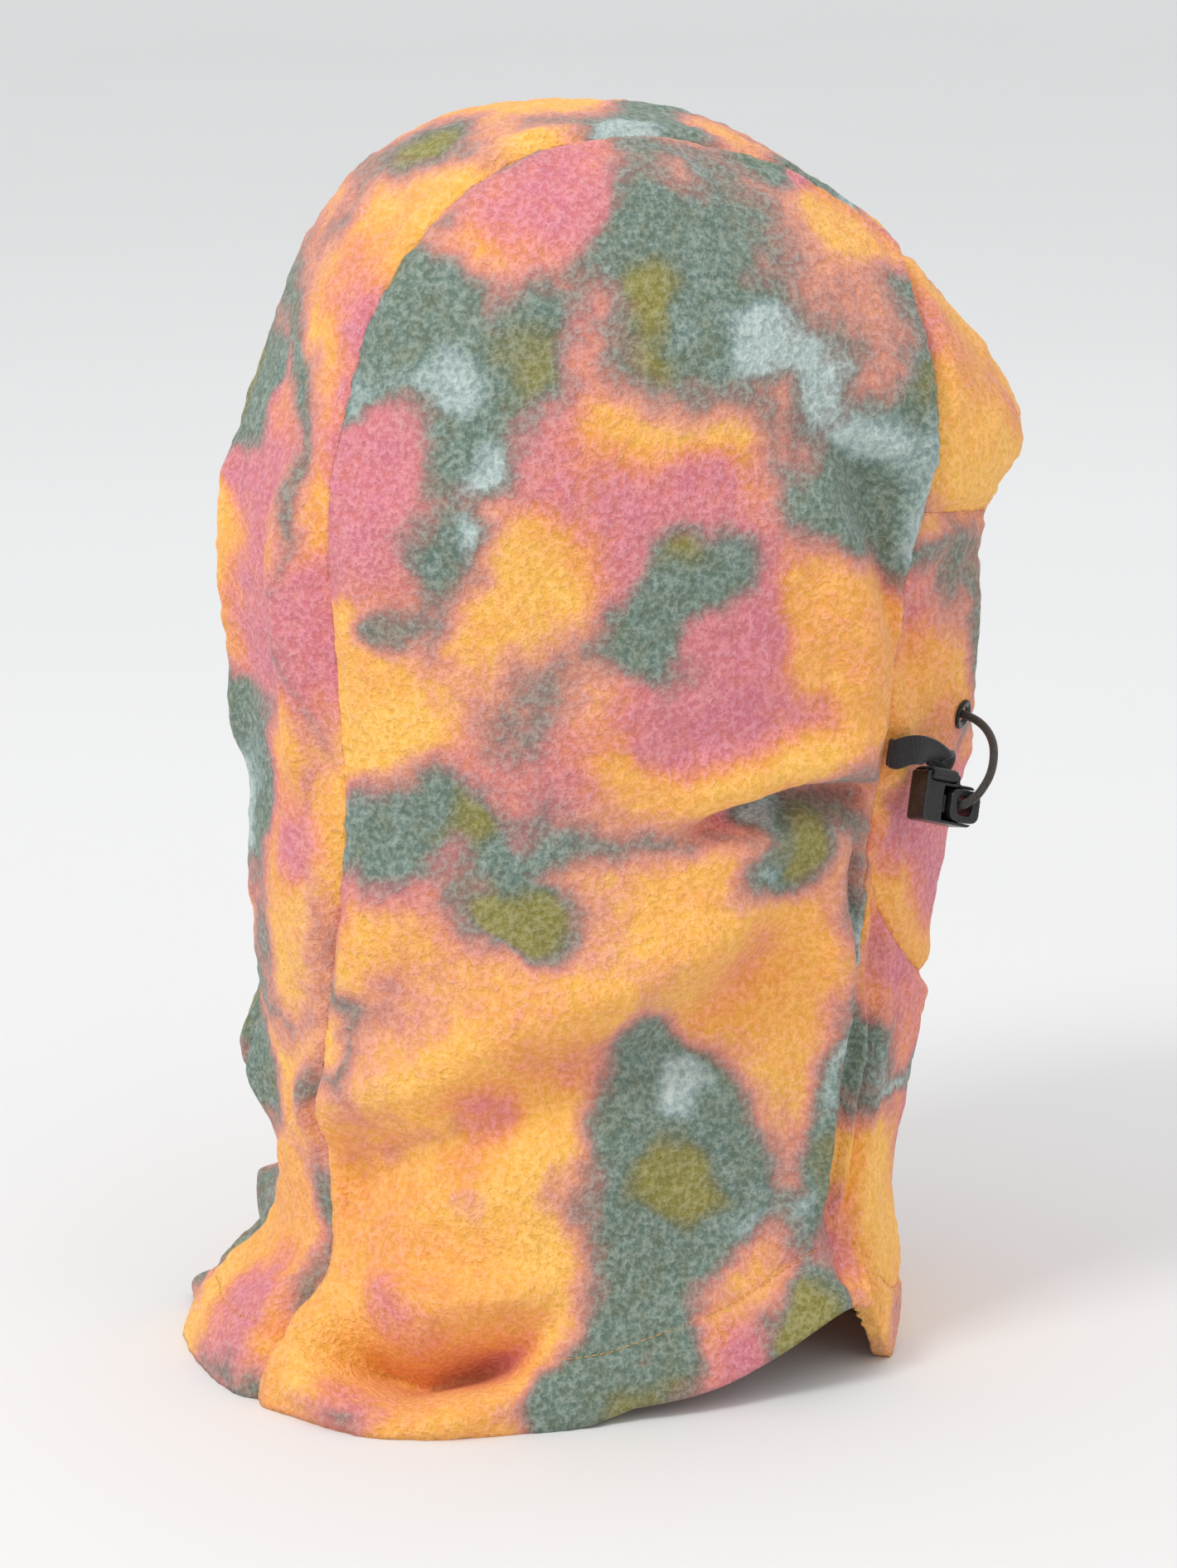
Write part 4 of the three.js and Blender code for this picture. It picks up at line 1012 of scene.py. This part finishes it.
root_way = [
    ROOT + ROOT_OUT * 0.4, ROOT + ROOT_OUT * 3, ROOT + (-5.2, -4, 1), ROOT + (-6.4, -8.2, 1),
    on_lock(TAPE_MIDDLE, BAR_TOP + 4.4, 1.2), on_lock(TAPE_MIDDLE, BAR_TOP + 1.3, 0),
]
strap_line = spline(root_way, RIB_PITCH / 6)
strap_share = np.linspace(0, 1, len(strap_line))[:, None]
strap_turn = smooth(strap_share, 0.1, 0.9)
strap_across = np.array([0, 0, 1]) * (1 - strap_turn) + LOCK_AXES[0] * strap_turn
strap_points, strap_faces = tape(strap_line, strap_across, RIBBON_WIDTH, 2 * RIBBON_THICKNESS)
loop_turn = np.linspace(0, 2 * np.pi, 200)
loop_line = np.array([
    on_lock(TAPE_MIDDLE, 8.6 + 1.45 * c, 5.25 * s)
    for c, s in zip(signed_power(np.cos(loop_turn), 0.6), signed_power(np.sin(loop_turn), 0.6))
])
loop_across = np.tile(LOCK_AXES[0], (len(loop_line), 1))
loop_points, loop_faces = tape(loop_line, loop_across, RIBBON_WIDTH, RIBBON_THICKNESS)
for side, sign in SIDES:
    points = np.vstack([strap_points, loop_points]) * (1 if sign > 0 else MIRROR)
    faces = [*strap_faces, *[[v + len(strap_points) for v in face] for face in loop_faces]]
    ribbon = piece(f"ribbon_{side}_tape", points, [face[::sign] for face in faces])
    ribbon_cloth.on(ribbon)
    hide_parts(f"ribbon_{side}")
    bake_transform(ribbon)

# ---- Cord locks ----------------------------------------------------------------------------------
# Moulded black plastic: a housing with a raised tab for the ribbon, and a spring plunger whose ring
# grips the cord. Every edge is rounded as it leaves the mould, and the faces have a fine grain.
VOXEL = 0.0003
plastic = Finish("moulded_plastic", {"Specular IOR Level": 0.5})
grain = plastic.noise(0.0005, 3)
bloom = plastic.noise(0.004, 2)
plastic.feed("Base Color", plastic.ramp(bloom, (0.3, dye("#18181A")), (0.8, dye("#28282B"))))
plastic.feed("Roughness", grain * 0.16 + 0.2)
plastic.bump(grain, 0.00006, 0.35)
for side, sign in SIDES:
    for what, passes in (("housing", 7), ("plunger", 5)):
        node = f"cord_lock_{what}_{side}"
        moulded = bpy.data.objects.new(f"{node}_moulded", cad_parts[node].data.copy())
        bpy.context.scene.collection.objects.link(moulded)
        remesh = moulded.modifiers.new("remesh", "REMESH")
        remesh.mode = "VOXEL"
        remesh.voxel_size = VOXEL
        soften = moulded.modifiers.new("soften", "SMOOTH")
        soften.factor = 0.5
        soften.iterations = passes
        bpy.context.view_layer.update()
        made = bpy.data.meshes.new_from_object(moulded.evaluated_get(bpy.context.evaluated_depsgraph_get()))
        moulded.modifiers.clear()
        moulded.data = made
        made.shade_smooth()
        plastic.on(moulded)
        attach(moulded, f"lock_{side}" if what == "housing" else f"plunger_{side}")
        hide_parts(node)

# ---- Floor and light -----------------------------------------------------------------------------
# A plain pale floor that curves up far from the hood on all sides, under one large soft light and a
# bright even room.
FLOOR_FLAT = 5500
FLOOR_RISE = 3000
profile = [(r, 0) for r in (400, 1500, 3000, FLOOR_FLAT)]
profile += [
    (FLOOR_FLAT + FLOOR_RISE * math.sin(a), FLOOR_RISE * (1 - math.cos(a)))
    for a in np.linspace(0.1, math.pi / 2, 14)
]
turns = np.linspace(0, 2 * np.pi, 72, endpoint=False)
points = [(0, 0, 0)] + [(r * math.cos(t), r * math.sin(t), z) for r, z in profile for t in turns]
n = len(turns)
faces = [(0, 1 + j, 1 + (j + 1) % n) for j in range(n)]
for i in range(len(profile) - 1):
    for j in range(n):
        k = (j + 1) % n
        faces.append((1 + i * n + j, 1 + (i + 1) * n + j, 1 + (i + 1) * n + k, 1 + i * n + k))
floor = piece("floor", points, faces)
paper = Finish("floor_paper", {"Roughness": 0.9, "Specular IOR Level": 0.1})
tint = paper.noise(0.5, 1)
paper.feed("Base Color", paper.ramp(tint, (0.0, dye("#E7E7E7")), (1.0, dye("#EAEAEA"))))
paper.on(floor)
world = bpy.data.worlds.new("room")
world.use_nodes = True
world.node_tree.nodes["Background"].inputs["Color"].default_value = dye("#F6F7F8")
world.node_tree.nodes["Background"].inputs["Strength"].default_value = 0.98
bpy.context.scene.world = world
bpy.context.scene.view_settings.view_transform = "Standard"
LIGHTS = (
    # place, power, size
    ((-0.7, 1.6, 2.1), 24, 0.7),
    ((-2.2, -0.6, 0.9), 2, 1.2),
    ((1.2, -1.2, 1.8), 3, 1.6),
)
for number, (spot, power, size) in enumerate(LIGHTS):
    lamp = bpy.data.lights.new(f"softbox_{number}", "AREA")
    lamp.energy = power
    lamp.size = size
    holder = bpy.data.objects.new(f"softbox_{number}", lamp)
    holder.location = spot
    holder.rotation_euler = (Vector(spot) - CAMERA_TARGET).to_track_quat("Z", "Y").to_euler()
    bpy.context.scene.collection.objects.link(holder)
